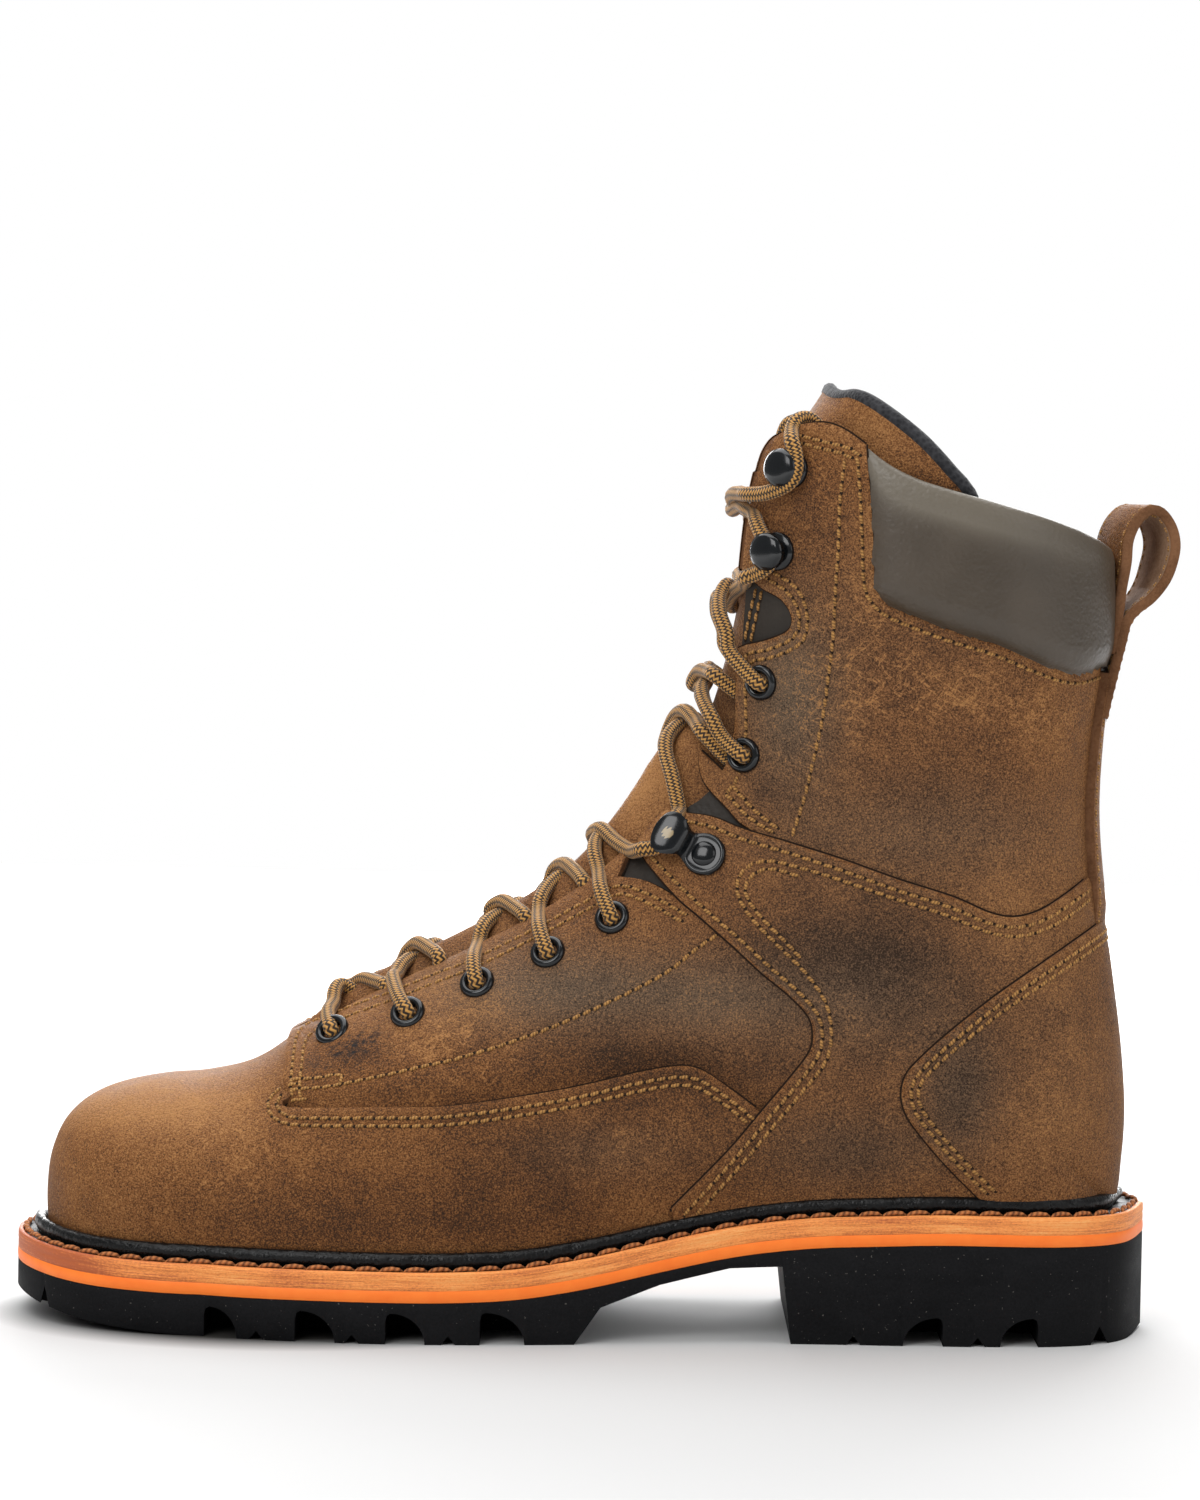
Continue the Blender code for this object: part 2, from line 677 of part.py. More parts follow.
def nick_outline(x, width, height):
    left, right = x - width / 2, x + width / 2
    return [(left, CUT_BELOW), (right, CUT_BELOW), (right, 0.0), (x, height), (left, 0.0)]


def cut_treads(outsole, loop):
    """Cut the grooves and nicks between the lugs, from both edges inwards."""
    shapes = [(groove_outline(*row), GROOVE_DEPTH, sum(row[:2]) / 2) for row in GROOVES]
    shapes += [(nick_outline(*row), NICK_DEPTH, row[0]) for row in NICKS]
    joined = bmesh.new()
    for number, (outline, depth, x) in enumerate(shapes):
        outer, inner = sides_of(loop, np.array([x]))
        for y0, y1 in ((-CUT_BEYOND, outer[0] + depth), (inner[0] - depth, CUT_BEYOND)):
            joined.from_mesh(side_prism(f"tread_{number}", outline, y0, y1))
    mesh = bpy.data.meshes.new("tread_cuts")
    joined.to_mesh(mesh)
    joined.free()
    boolean(outsole, "DIFFERENCE", add_cutter("tread_cuts", mesh))


def make_sole():
    outline = offset_loop(SOLE_MARGIN)
    under_welt = WELT_THICK + JOINT
    under_midsole = under_welt + MIDSOLE_THICK + JOINT
    tread_breaks = tuple(row[0] for row in TREAD[1:-1])
    mesh = slab("outsole", outline, lambda x: welt_top(x) - under_midsole,
                lambda x: lookup(TREAD, x), tread_breaks)
    cut_treads(add_object("outsole", mesh, "rubber"), outline)
    mesh = slab("midsole", outline, lambda x: welt_top(x) - under_welt,
                lambda x: welt_top(x) - under_welt - MIDSOLE_THICK)
    add_object("midsole", mesh, "orange_rubber")
    corners = (
        (SOLE_MARGIN, 0.0),
        (SOLE_MARGIN, -WELT_THICK),
        (-WELT_INSIDE, -WELT_THICK),
        (-WELT_INSIDE, 0.0),
    )
    add_object("welt", ring("welt", corners), "tan_welt")
    add_object("rand", ring("rand", RAND_PROFILE), "black_rand")
    inside = offset_loop(-(WALL + INSOLE_GAP))
    mesh = slab("insole", inside, lambda x: welt_top(x) + JOINT + INSOLE_THICK, lambda x: welt_top(x) + JOINT)
    add_object("insole", mesh, "insole_board")


# Strap, hardware and lace

def smooth_line(points, steps, closed=False):
    """Smooth curve through side-view points."""
    p = np.array(points, float)
    count = len(p)
    spans = count if closed else count - 1
    out = []
    for i in range(spans):
        ids = [i - 1, i, i + 1, i + 2]
        ids = [k % count if closed else min(max(k, 0), count - 1) for k in ids]
        p0, p1, p2, p3 = p[ids]
        for f in np.arange(steps) / steps:
            cubic = 2 * p0 - 5 * p1 + 4 * p2 - p3 + f * (3 * (p1 - p2) + p3 - p0)
            out.append(p1 + 0.5 * f * (p2 - p0 + f * cubic))
    if not closed:
        out.append(p[-1])
    return np.array(out)


def band(name, line, closed=False):
    """Flat strap that follows a side-view line."""
    if closed:
        along = np.roll(line, -1, axis=0) - np.roll(line, 1, axis=0)
    else:
        along = np.gradient(line, axis=0)
    normal = np.stack([-along[:, 1], along[:, 0]], axis=1)
    normal *= STRAP_THICK / 2 / np.linalg.norm(normal, axis=1, keepdims=True)
    points, faces = [], []
    for (x, z), (nx, nz) in zip(line, normal):
        for sign, y in ((1, -1), (1, 1), (-1, 1), (-1, -1)):
            points.append((x + sign * nx, y * STRAP_WIDTH / 2, z + sign * nz))
    count = len(line)
    for i in range(count if closed else count - 1):
        a, b = 4 * i, 4 * ((i + 1) % count)
        for j in range(4):
            k = (j + 1) % 4
            faces.append((a + j, a + k, b + k, b + j))
    if not closed:
        faces.append((0, 1, 2, 3))
        faces.append(tuple(4 * (count - 1) + j for j in range(4)))
    return mesh_from(name, points, faces)


def make_pull_loop():
    mesh = band("pull_loop", smooth_line(LOOP_LINE, 2, closed=True), closed=True)
    part = add_object("pull_loop", mesh, "brown_leather")
    boolean(part, "UNION", add_cutter("back_strip", band("back_strip", smooth_line(STRIP_LINE, 2))))


def turned(name, profile, steps):
    """Mesh of a profile turned about the z axis, from its top outer side down."""
    guide = bpy.data.meshes.new(name + "_profile")
    closed = profile[0][0] > 0.0
    edges = [(i, i + 1) for i in range(len(profile) - 1)]
    if closed:
        edges.append((len(profile) - 1, 0))
    guide.from_pydata([(r * MM, 0.0, z * MM) for r, z in profile], edges, [])
    maker = bpy.data.objects.new(name + "_profile", guide)
    CUTTERS.objects.link(maker)
    screw = maker.modifiers.new("turn", "SCREW")
    screw.steps = steps
    screw.render_steps = steps
    screw.use_merge_vertices = True
    screw.merge_threshold = 1e-6
    bpy.context.view_layer.update()
    evaluated = maker.evaluated_get(bpy.context.evaluated_depsgraph_get())
    mesh = bpy.data.meshes.new_from_object(evaluated)
    mesh.name = name
    bpy.data.objects.remove(maker, do_unlink=True)
    bm = bmesh.new()
    bm.from_mesh(mesh)
    bmesh.ops.remove_doubles(bm, verts=bm.verts, dist=1e-6)
    bmesh.ops.recalc_face_normals(bm, faces=bm.faces)
    bm.to_mesh(mesh)
    bm.free()
    return mesh


def seat(part, place, side, lift, turn=0.0):
    """Stand a part on the upper's outer face at a side-view place, its z axis along the normal."""
    s, t = locate(*place)
    point = Vector(upper_point(s, t, side))
    normal = Vector(outward(s, t, side))
    flat = Vector((1.0, 0.0, 0.0))
    across = normal.cross(flat).normalized()
    flat = across.cross(normal)
    frame = Matrix((flat, across, normal)).transposed().to_4x4()
    part.matrix_local = (Matrix.Translation((point + normal * lift) * MM) @ frame
                         @ Matrix.Rotation(math.radians(turn), 4, "Z"))


SIDES = {"outer": -1, "inner": 1}


def make_hardware():
    eyelet = turned("eyelet", EYELET_PROFILE, EYELET_STEPS)
    stud = turned("stud_hook", STUD_PROFILE, STUD_STEPS)
    half = ANKLE_HOOK_WIDTH / 2
    for label, side in SIDES.items():
        for number, place in enumerate(EYELETS, 1):
            part = add_object(f"eyelet_{label}_{number}", eyelet.copy(), "black_enamel")
            seat(part, place, side, EYELET_LIFT)
        for number, place in enumerate(STUDS, 1):
            part = add_object(f"stud_hook_{label}_{number}", stud.copy(), "black_enamel")
            seat(part, place, side, STUD_LIFT)
        hook = add_object(f"ankle_hook_{label}", side_prism("ankle_hook", ANKLE_HOOK_PROFILE, -half, half),
                          "black_enamel")
        edge = hook.modifiers.new("edge", "BEVEL")
        edge.width = HOOK_BEVEL * MM
        edge.segments = 1
        seat(hook, ANKLE_HOOK, side, EYELET_LIFT, -side * ANKLE_HOOK_TURN)


def lace_rows():
    """Section numbers of the rows of hardware, from the toe up."""
    places = EYELETS[:5] + (ANKLE_HOOK,) + EYELETS[5:] + STUDS
    return [locate(*place) for place in places]


def strand(start, end, side):
    """Middle line of one strand: from beside its eyelet over the facing and the tongue to the far edge."""
    (s0, t0), (s1, _) = start, end
    first = abs(upper_point(s0, t0, side)[1] - section(s0)["ridge_y"]) - LACE_START
    last = float(lookup(THROAT, s1)) - LACE_END_GAP
    line = []
    for f in np.linspace(0.0, 1.0, LACE_POINTS):
        width = first + (-last - first) * f
        s = s0 + (s1 - s0) * (LACE_FROM + (LACE_TO - LACE_FROM) * f)
        way = side if width >= 0 else -side
        t = float(height_at_width(s, way, abs(width)))
        dip = max(0.0, f - LACE_DIP) / (1.0 - LACE_DIP)
        lift = LACE_LIFTS[side] + (LACE_END_LIFT - LACE_LIFTS[side]) * dip ** 2
        line.append(Vector(upper_point(s, t, way)) + ridge_normal(s, abs(width), way) * lift)
    return line


def tube(name, line):
    """Closed round tube along a line of points."""
    points, faces = [], []
    for i, point in enumerate(line):
        along = (line[min(i + 1, len(line) - 1)] - line[max(i - 1, 0)]).normalized()
        a = along.cross(TUBE_GUIDE).normalized()
        b = along.cross(a)
        for k in range(LACE_SIDES):
            angle = 2 * math.pi * k / LACE_SIDES
            points.append(point + (a * math.cos(angle) + b * math.sin(angle)) * LACE_RADIUS)
    for i in range(len(line) - 1):
        for k in range(LACE_SIDES):
            n = (k + 1) % LACE_SIDES
            p, q = i * LACE_SIDES, (i + 1) * LACE_SIDES
            faces.append((p + k, p + n, q + n, q + k))
    faces.append(tuple(range(LACE_SIDES)))
    faces.append(tuple(range((len(line) - 1) * LACE_SIDES, len(line) * LACE_SIDES)))
    return mesh_from(name, points, faces)


def make_lace():
    rows = lace_rows()
    for number, (start, end) in enumerate(zip(rows[:-1], rows[1:]), 1):
        name = f"lace_crossing_{number}"
        part = add_object(name, tube(name, strand(start, end, -1)), "lace_cord")
        boolean(part, "UNION", add_cutter(name + "_other", tube(name + "_other", strand(start, end, 1))))


clear_scene()
LAST_ROWS = last_table()
PARTS = new_collection("work_boot")
CUTTERS = new_collection("cutters")
BOOT = bpy.data.objects.new("boot", None)
PARTS.objects.link(BOOT)
BOOT.location = (SHIFT_X * MM, SHIFT_Y * MM, 0.0)
make_sole()
make_upper()
make_heel_counter()
make_collar_pad()
make_tongue()
make_pull_loop()
make_hardware()
make_lace()
bpy.context.view_layer.update()
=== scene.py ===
"""Looks of the left work boot: sewn leather panels, lacing, hardware and welted lug sole.

Lines and sizes are drawn in millimetres about the heel, as in the part's own drawing, or in pixels of
the photograph, and become metres in the frame as each mesh is made.
"""

import logging
import math
from dataclasses import dataclass, field
from enum import Enum
from typing import Callable, Optional, Sequence

import bmesh
import bpy
import numpy as np
from mathutils import Matrix, Vector
from mathutils.geometry import delaunay_2d_cdt
from mathutils.kdtree import KDTree


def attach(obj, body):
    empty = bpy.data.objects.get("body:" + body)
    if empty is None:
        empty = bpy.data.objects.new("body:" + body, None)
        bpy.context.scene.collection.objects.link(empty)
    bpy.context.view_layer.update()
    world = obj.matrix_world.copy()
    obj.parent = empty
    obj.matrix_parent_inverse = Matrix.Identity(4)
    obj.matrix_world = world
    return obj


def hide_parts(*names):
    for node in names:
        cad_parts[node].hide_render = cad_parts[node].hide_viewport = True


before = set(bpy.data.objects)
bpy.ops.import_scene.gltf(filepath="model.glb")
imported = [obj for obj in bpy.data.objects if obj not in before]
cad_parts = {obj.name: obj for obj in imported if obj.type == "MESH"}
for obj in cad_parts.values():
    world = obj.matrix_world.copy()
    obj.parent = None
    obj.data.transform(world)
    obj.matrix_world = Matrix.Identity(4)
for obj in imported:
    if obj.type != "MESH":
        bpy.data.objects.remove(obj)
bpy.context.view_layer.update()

Array = np.ndarray
Colour = tuple[float, float, float]
Pixels = Sequence[tuple[float, float]]
Material = bpy.types.Material
Piece = bpy.types.Object
Socket = bpy.types.NodeSocket

LOG = logging.getLogger("work_boot")
MM = 0.001
SHIFT = np.array([-0.555, 1.174, 0.0])
CURVE_STEPS = 24
TUBE_START = (0.3, 0.1, 1.0)
PANEL_SCALE = (14.0, 120.0)


class Side(Enum):
    """The two faces of the boot."""

    OUTER = -1
    INNER = 1


# Lines and small meshes

def smooth_curve(points: Sequence, spacing: float, closed: bool = False) -> Array:
    """Smooth line through points, with its own points evenly spaced.

    Args:
        points: Points of any dimension.
        spacing: Distance between the new points, in the unit of the old ones.
        closed: Whether the line runs back to its start.

    Returns:
        The new points; a closed line doesn't repeat its start.
    """
    p = np.array(points, float)
    count = len(p)
    dense = []
    for i in range(count if closed else count - 1):
        ids = [k % count if closed else min(max(k, 0), count - 1) for k in (i - 1, i, i + 1, i + 2)]
        p0, p1, p2, p3 = p[ids]
        f = np.linspace(0.0, 1.0, CURVE_STEPS, endpoint=False)[:, None]
        dense.append(between(p0, p1, p2, p3, f))
    line = np.vstack(dense + [p[:1] if closed else p[-1:]])
    return resample(line, spacing, closed)


def resample(line: Array, spacing: float, closed: bool = False) -> Array:
    """Points at an even spacing along a line; a closed line repeats its start at its end.

    Args:
        line: Points of any dimension.
        spacing: Rough distance between the new points.
        closed: Whether the line ends at its start.

    Returns:
        The new points; a closed line's end is left out.
    """
    run = run_along(line)
    steps = max(int(round(run[-1] / spacing)), 2)
    at = np.linspace(0.0, run[-1], steps + 1)
    if closed:
        at = at[:-1]
    return np.stack([np.interp(at, run, line[:, k]) for k in range(line.shape[1])], axis=1)


def offset_line(line: Array, distance: float) -> Array:
    """Flat line moved sideways; a positive distance goes to the right of its way on the photograph.

    Args:
        line: Points in pixels.
        distance: How far it moves.

    Returns:
        The moved points.
    """
    along = np.gradient(line, axis=0)
    normal = np.stack([-along[:, 1], along[:, 0]], axis=1)
    return line + normal * distance / np.linalg.norm(normal, axis=1, keepdims=True)


def inside(points: Array, polygon: Array) -> Array:
    """Whether each flat point lies inside a closed polygon.

    Args:
        points: Flat points.
        polygon: Its corners.

    Returns:
        A truth value for each point.
    """
    found = np.zeros(len(points), bool)
    for (x0, y0), (x1, y1) in zip(polygon, np.roll(polygon, -1, axis=0)):
        if y0 == y1:
            continue
        crosses = (points[:, 1] < y0) != (points[:, 1] < y1)
        found ^= crosses & (points[:, 0] < x0 + (points[:, 1] - y0) * (x1 - x0) / (y1 - y0))
    return found


def search_tree(points: Array) -> KDTree:
    """Search tree of points; flat ones lie at height 0.

    Args:
        points: Points with two or three coordinates, one in each row.

    Returns:
        The balanced tree.
    """
    tree = KDTree(len(points))
    for i, p in enumerate(points):
        tree.insert((*p, 0.0)[:3], i)
    tree.balance()
    return tree


def near(points: Array, line: Array) -> Array:
    """Distance of each point from the nearest point of a dense line."""
    tree = search_tree(line)
    return np.array([tree.find((*p, 0.0)[:3])[2] for p in points])


def between(p0: Array, p1: Array, p2: Array, p3: Array, f: Array) -> Array:
    """Smooth run from p1 to p2 at fractions f, with p0 before it and p3 after it."""
    cubic = 2 * p0 - 5 * p1 + 4 * p2 - p3 + f * (3 * (p1 - p2) + p3 - p0)
    return p1 + 0.5 * f * (p2 - p0 + f * cubic)


def run_along(line: Array) -> Array:
    """Distance along a line from its start to each of its points."""
    return np.concatenate([[0.0], np.cumsum(np.linalg.norm(np.diff(line, axis=0), axis=1))])


def unit(vectors: Array) -> Array:
    """Vectors brought to length one."""
    return vectors / np.linalg.norm(vectors, axis=-1, keepdims=True)


def lookup(table: Sequence, x: Array) -> Array:
    """Second column of a two-column table at x, by straight lines between its rows."""
    rows = np.array(table, float)
    return np.interp(x, rows[:, 0], rows[:, 1])


def soft_step(x: Array) -> Array:
    """Smooth rise from 0 at x = 0 to 1 at x = 1."""
    x = np.clip(x, 0.0, 1.0)
    return x * x * (3.0 - 2.0 * x)


@dataclass(frozen=True)
class PhotoView:
    """The photograph's camera: a plain pinhole, pitched down and slightly turned about its axis."""

    width: float = 1200.0
    height: float = 1500.0
    focal: float = 5028.0
    eye: tuple[float, float, float] = (0.0, -1400.0, 232.0)
    pitch: float = math.radians(2.99)
    turn: float = math.radians(1.10)

    def axes(self) -> tuple[Array, Array, Array]:
        """Directions to the right of, over and along the view, before its turn."""
        c, s = math.cos(self.pitch), math.sin(self.pitch)
        return np.array([1.0, 0.0, 0.0]), np.array([0.0, s, c]), np.array([0.0, c, -s])

    def pixels(self, points: Array) -> Array:
        """Pixels of drawn points.

        Args:
            points: Points in millimetres, one in each row.

        Returns:
            Pixel places, one in each row.
        """
        right, over, ahead = self.axes()
        ray = points - np.array(self.eye)
        size = self.focal / (ray @ ahead)
        u, v = (ray @ right) * size, -(ray @ over) * size
        c, s = math.cos(self.turn), math.sin(self.turn)
        return np.stack([c * u - s * v + self.width / 2, s * u + c * v + self.height / 2], axis=-1)

    def at_depth(self, pixel: Sequence[float], y: float) -> Array:
        """Drawn point behind a pixel, at a given y.

        Args:
            pixel: Place on the photograph.
            y: Depth in millimetres.

        Returns:
            The point.
        """
        across, down = pixel[0] - self.width / 2, pixel[1] - self.height / 2
        c, s = math.cos(self.turn), math.sin(self.turn)
        right, over, ahead = self.axes()
        ray = ahead * self.focal + right * (c * across + s * down) - over * (c * down - s * across)
        return np.array(self.eye) + ray * (y - self.eye[1]) / ray[1]


class Last:
    """Outer face of the upper: flat cuts from the lower edge or the back to the ridge."""

    WELT_TOP = (
        (-162.0, 22.4), (-140.0, 20.3), (-110.0, 19.5), (-40.0, 19.5), (-20.0, 20.3), (0.0, 23.4),
        (20.0, 28.0), (40.0, 32.2), (60.0, 34.6), (95.0, 36.0), (156.0, 35.2),
    )
    EDGE_GAP = 0.5
    COLUMNS = (
        "bottom_x", "bottom_z", "top_x", "top_z", "ridge_y", "edge_lat", "edge_med", "full_lat", "full_med",
        "full_at", "low", "top", "crown",
    )
    ROWS = (
        (-105.0, None, -152.0, 22.4, 6.5, 38.5, 43.0, 38.5, 43.0, 0.02, 2.0, 2.10, 0.0),
        (-104.6, None, -152.4, 33.0, 6.5, 38.6, 43.0, 38.8, 43.2, 0.08, 2.0, 2.15, 0.0),
        (-104.0, None, -151.3, 43.5, 6.5, 38.8, 43.1, 39.3, 43.6, 0.12, 2.0, 2.25, 0.0),
        (-103.0, None, -147.8, 52.0, 6.5, 39.1, 43.2, 40.0, 44.1, 0.15, 2.0, 2.35, 0.0),
        (-101.3, None, -141.0, 58.6, 6.4, 39.6, 43.4, 40.8, 44.6, 0.16, 2.0, 2.40, 0.0),
        (-98.8, None, -132.0, 62.4, 6.3, 40.4, 43.7, 41.9, 45.2, 0.17, 2.0, 2.40, 0.0),
        (-95.5, None, -120.5, 64.8, 6.0, 41.4, 44.0, 43.1, 45.7, 0.18, 2.0, 2.40, 0.0),
        (-91.0, None, -108.0, 66.2, 5.7, 42.6, 44.3, 44.3, 46.0, 0.18, 2.0, 2.35, 0.0),
        (-84.0, None, -95.0, 69.8, 5.3, 44.0, 44.5, 45.7, 46.2, 0.18, 2.0, 2.30, 0.0),
        (-74.0, None, -82.0, 78.6, 4.8, 45.3, 44.2, 47.0, 46.0, 0.18, 2.0, 2.20, 0.0),
        (-61.0, None, -67.5, 88.5, 4.3, 46.5, 43.0, 48.2, 45.0, 0.18, 2.0, 2.15, 0.0),
        (-46.0, None, -52.0, 97.0, 3.9, 46.5, 40.8, 48.3, 43.2, 0.18, 2.0, 2.10, 0.0),
        (-28.0, None, -35.0, 106.0, 3.4, 45.0, 36.8, 47.2, 40.2, 0.19, 2.0, 2.10, 0.0),
        (-8.0, None, -18.5, 116.0, 2.9, 42.0, 33.0, 45.0, 37.8, 0.20, 2.0, 2.10, 0.0),
        (14.0, None, -4.5, 127.0, 2.4, 38.0, 30.0, 42.0, 36.0, 0.22, 2.0, 2.10, 0.0),
        (38.0, None, 5.0, 138.0, 1.9, 34.7, 29.0, 39.6, 35.2, 0.24, 2.0, 2.10, 0.0),
        (62.0, None, 11.5, 147.0, 1.4, 33.5, 30.0, 38.2, 35.2, 0.25, 2.0, 2.10, 0.0),
        (86.0, None, 15.7, 153.5, 1.0, 33.5, 31.7, 37.6, 35.8, 0.26, 2.0, 2.10, 0.0),
        (108.0, None, 18.3, 158.5, 0.6, 32.6, 32.0, 37.2, 36.2, 0.27, 2.0, 2.10, 0.0),
        (126.0, None, 20.2, 163.0, 0.2, 30.0, 29.6, 37.0, 36.5, 0.28, 2.0, 2.10, 0.0),
        (138.0, None, 21.6, 167.0, 0.0, 20.8, 20.8, 37.0, 36.7, 0.29, 2.0, 2.10, 0.0),
        (144.5, 36.0, 22.6, 170.5, 0.0, 0.0, 0.0, 37.0, 37.0, 0.30, 2.0, 2.10, 0.0),
        (146.3, 48.0, 23.6, 174.5, 0.0, 0.0, 0.0, 37.0, 37.0, 0.31, 2.0, 2.10, 0.0),
        (146.8, 62.0, 24.8, 179.0, 0.0, 0.0, 0.0, 37.2, 37.2, 0.32, 2.0, 2.10, 0.0),
        (145.3, 80.0, 26.2, 185.0, 0.0, 0.0, 0.0, 37.6, 37.6, 0.34, 2.0, 2.15, 0.0),
        (142.3, 100.0, 27.8, 192.0, 0.0, 0.0, 0.0, 38.2, 38.2, 0.37, 2.1, 2.20, 0.0),
        (138.8, 122.0, 29.4, 200.0, 0.0, 0.0, 0.0, 39.0, 39.0, 0.41, 2.2, 2.20, 0.0),
        (136.7, 144.0, 30.9, 209.0, 0.0, 0.0, 0.0, 40.2, 40.2, 0.44, 2.2, 2.20, 0.0),
        (137.3, 165.0, 32.3, 218.5, 0.0, 0.0, 0.0, 41.6, 41.6, 0.46, 2.2, 2.20, 0.0),
        (139.4, 185.0, 34.0, 228.5, 0.0, 0.0, 0.0, 43.3, 43.3, 0.47, 2.2, 2.20, 0.0),
        (141.3, 203.0, 36.6, 238.5, 0.0, 0.0, 0.0, 44.8, 44.8, 0.48, 2.2, 2.20, 3.5),
        (142.0, 220.0, 40.5, 248.5, 0.0, 0.0, 0.0, 46.0, 46.0, 0.48, 2.2, 2.20, 7.5),
        (142.5, 237.0, 52.0, 263.0, 0.0, 0.0, 0.0, 47.0, 47.0, 0.48, 2.2, 2.20, 9.0),
    )
    GRID = (961, 181)
    SLOPE_STEPS = (0.02, 0.004)
    SLOPE_RANGE = (0.006, 0.994)
    SEARCH_STEPS = (0.01, -0.002)
    SEARCH_REACH = (0.04, 0.006)
    EDGE_ON = 40.0
    CROWN_AT = 0.80
    CROWN_SPREAD = 0.13
    HEEL = 21.0
    COLLAR = 31.0
    TOP = 32.0
    THROAT = (
        (9.0, 0.0), (9.5, 9.0), (10.0, 11.0), (12.0, 13.0), (14.0, 15.5), (16.0, 18.0), (18.0, 19.5),
        (21.0, 20.0), (31.0, 21.0),
    )

    def __init__(self, view: PhotoView) -> None:
        """Fill in the lower edge and lay out the lookup from photograph to surface.

        Args:
            view: The photograph's camera.
        """
        self.view = view
        rows = [list(row) for row in self.ROWS]
        for row in rows:
            if row[1] is None:
                row[1] = float(self.welt_top(row[0])) + self.EDGE_GAP
        self.table = np.array(rows, float)
        ways = (np.linspace(0.0, end, count) for end, count in zip((self.TOP, 1.0), self.GRID))
        s, t = np.meshgrid(*ways, indexing="ij")
        self.grid = np.stack([s.ravel(), t.ravel()], axis=1)
        points = self.point(s.ravel(), t.ravel(), Side.OUTER)
        self.by_pixel = search_tree(view.pixels(points))
        self.by_side = search_tree(points[:, [0, 2]])

    @classmethod
    def welt_top(cls, x: Array) -> Array:
        """Height of the welt's upper face along the boot."""
        shifts = (-6.0, 0.0, 6.0)
        return sum(lookup(cls.WELT_TOP, np.asarray(x) + d) for d in shifts) / len(shifts)

    def section(self, s: Array) -> dict[str, Array]:
        """Columns of the table at section numbers, smoothly between its rows.

        Args:
            s: Section numbers.

        Returns:
            An array for each column's name.
        """
        rows = self.table
        s = np.clip(np.asarray(s, float), 0.0, len(rows) - 1.0)
        i = np.clip(np.floor(s).astype(int), 0, len(rows) - 2)
        f = (s - i)[..., None]
        p0, p1 = rows[np.maximum(i - 1, 0)], rows[i]
        p2, p3 = rows[i + 1], rows[np.minimum(i + 2, len(rows) - 1)]
        value = between(p0, p1, p2, p3, f)
        return {name: value[..., k] for k, name in enumerate(self.COLUMNS)}

    @staticmethod
    def half_widths(row: dict[str, Array], side: Side) -> tuple[Array, Array]:
        """Half-widths from the ridge at the widest place and at the lower edge.

        Args:
            row: Columns of the table.
            side: Which face of the boot.

        Returns:
            The two widths.
        """
        if side is Side.OUTER:
            return row["full_lat"] + row["ridge_y"], np.maximum(row["edge_lat"], 0.0) + row["ridge_y"]
        return row["full_med"] - row["ridge_y"], np.maximum(row["edge_med"], 0.0) - row["ridge_y"]

    def point(self, s: Array, t: Array, side: Side) -> Array:
        """Points of the outer face.

        Args:
            s: Section numbers.
            t: Fractions up each cut.
            side: Which face of the boot.

        Returns:
            Points in millimetres, one in each row.
        """
        row = self.section(s)
        t = np.asarray(t, float)
        full, edge = self.half_widths(row, side)
        closing = 1.0 - np.clip(edge / full, 0.0, 1.0) ** row["low"]
        below = np.clip(1.0 - t / row["full_at"], 0.0, 1.0)
        above = np.clip((t - row["full_at"]) / (1.0 - row["full_at"]), 0.0, 1.0)
        low = np.clip(1.0 - closing * below ** row["low"], 0.0, 1.0) ** (1.0 / row["low"])
        top = np.clip(1.0 - above ** row["top"], 0.0, 1.0) ** (1.0 / row["top"])
        x = row["bottom_x"] + (row["top_x"] - row["bottom_x"]) * t
        z = row["bottom_z"] + (row["top_z"] - row["bottom_z"]) * t
        z = z + row["crown"] * np.exp(-(((t - self.CROWN_AT) / self.CROWN_SPREAD) ** 2))
        y = row["ridge_y"] + side.value * full * low * top
        return np.stack(np.broadcast_arrays(x, y, z), axis=-1)

    def normal(self, s: Array, t: Array, side: Side) -> Array:
        """Unit normals of the outer face, with none of them leaning across its seams.

        Args:
            s: Section numbers.
            t: Fractions up each cut.
            side: Which face of the boot.

        Returns:
            Normals, one in each row.
        """
        s, t = np.broadcast_arrays(np.asarray(s, float), np.asarray(t, float))
        near_t = np.clip(t, *self.SLOPE_RANGE)
        ds, dt = self.SLOPE_STEPS
        along = self.point(s + ds, near_t, side) - self.point(s - ds, near_t, side)
        up = self.point(s, near_t + dt, side) - self.point(s, near_t - dt, side)
        normal = -side.value * np.cross(along, up)
        seam = (t > 1.0 - 1e-6) | ((t < 1e-6) & (s >= self.HEEL))
        normal[..., 1] = np.where(seam, 0.0, normal[..., 1])
        return unit(normal)

    def lifted(self, s: Array, t: Array, side: Side, height: Array) -> Array:
        """Points that stand off the outer face by a height along its normals."""
        return self.point(s, t, side) + self.normal(s, t, side) * np.asarray(height)[..., None]

    def at_width(self, s: Array, side: Side, width: Array) -> Array:
        """Fraction up the cut, on its upper part, where the half-width has shrunk to this.

        Args:
            s: Section numbers.
            side: Which face of the boot.
            width: The half-width.

        Returns:
            Fractions.
        """
        row = self.section(s)
        full, _ = self.half_widths(row, side)
        ratio = np.clip(np.asarray(width) / full, 0.0, 1.0)
        return row["full_at"] + (1.0 - row["full_at"]) * (1.0 - ratio ** row["top"]) ** (1.0 / row["top"])

    def at_back_width(self, s: Array, width: Array) -> Array:
        """Fraction up the cut, near the back, where the half-width has grown to this.

        Args:
            s: Section numbers.
            width: The half-width.

        Returns:
            Fractions.
        """
        row = self.section(s)
        ratio = np.clip(np.asarray(width) / row["full_lat"], 0.0, 1.0)
        return row["full_at"] * (1.0 - (1.0 - ratio ** row["low"]) ** (1.0 / row["low"]))

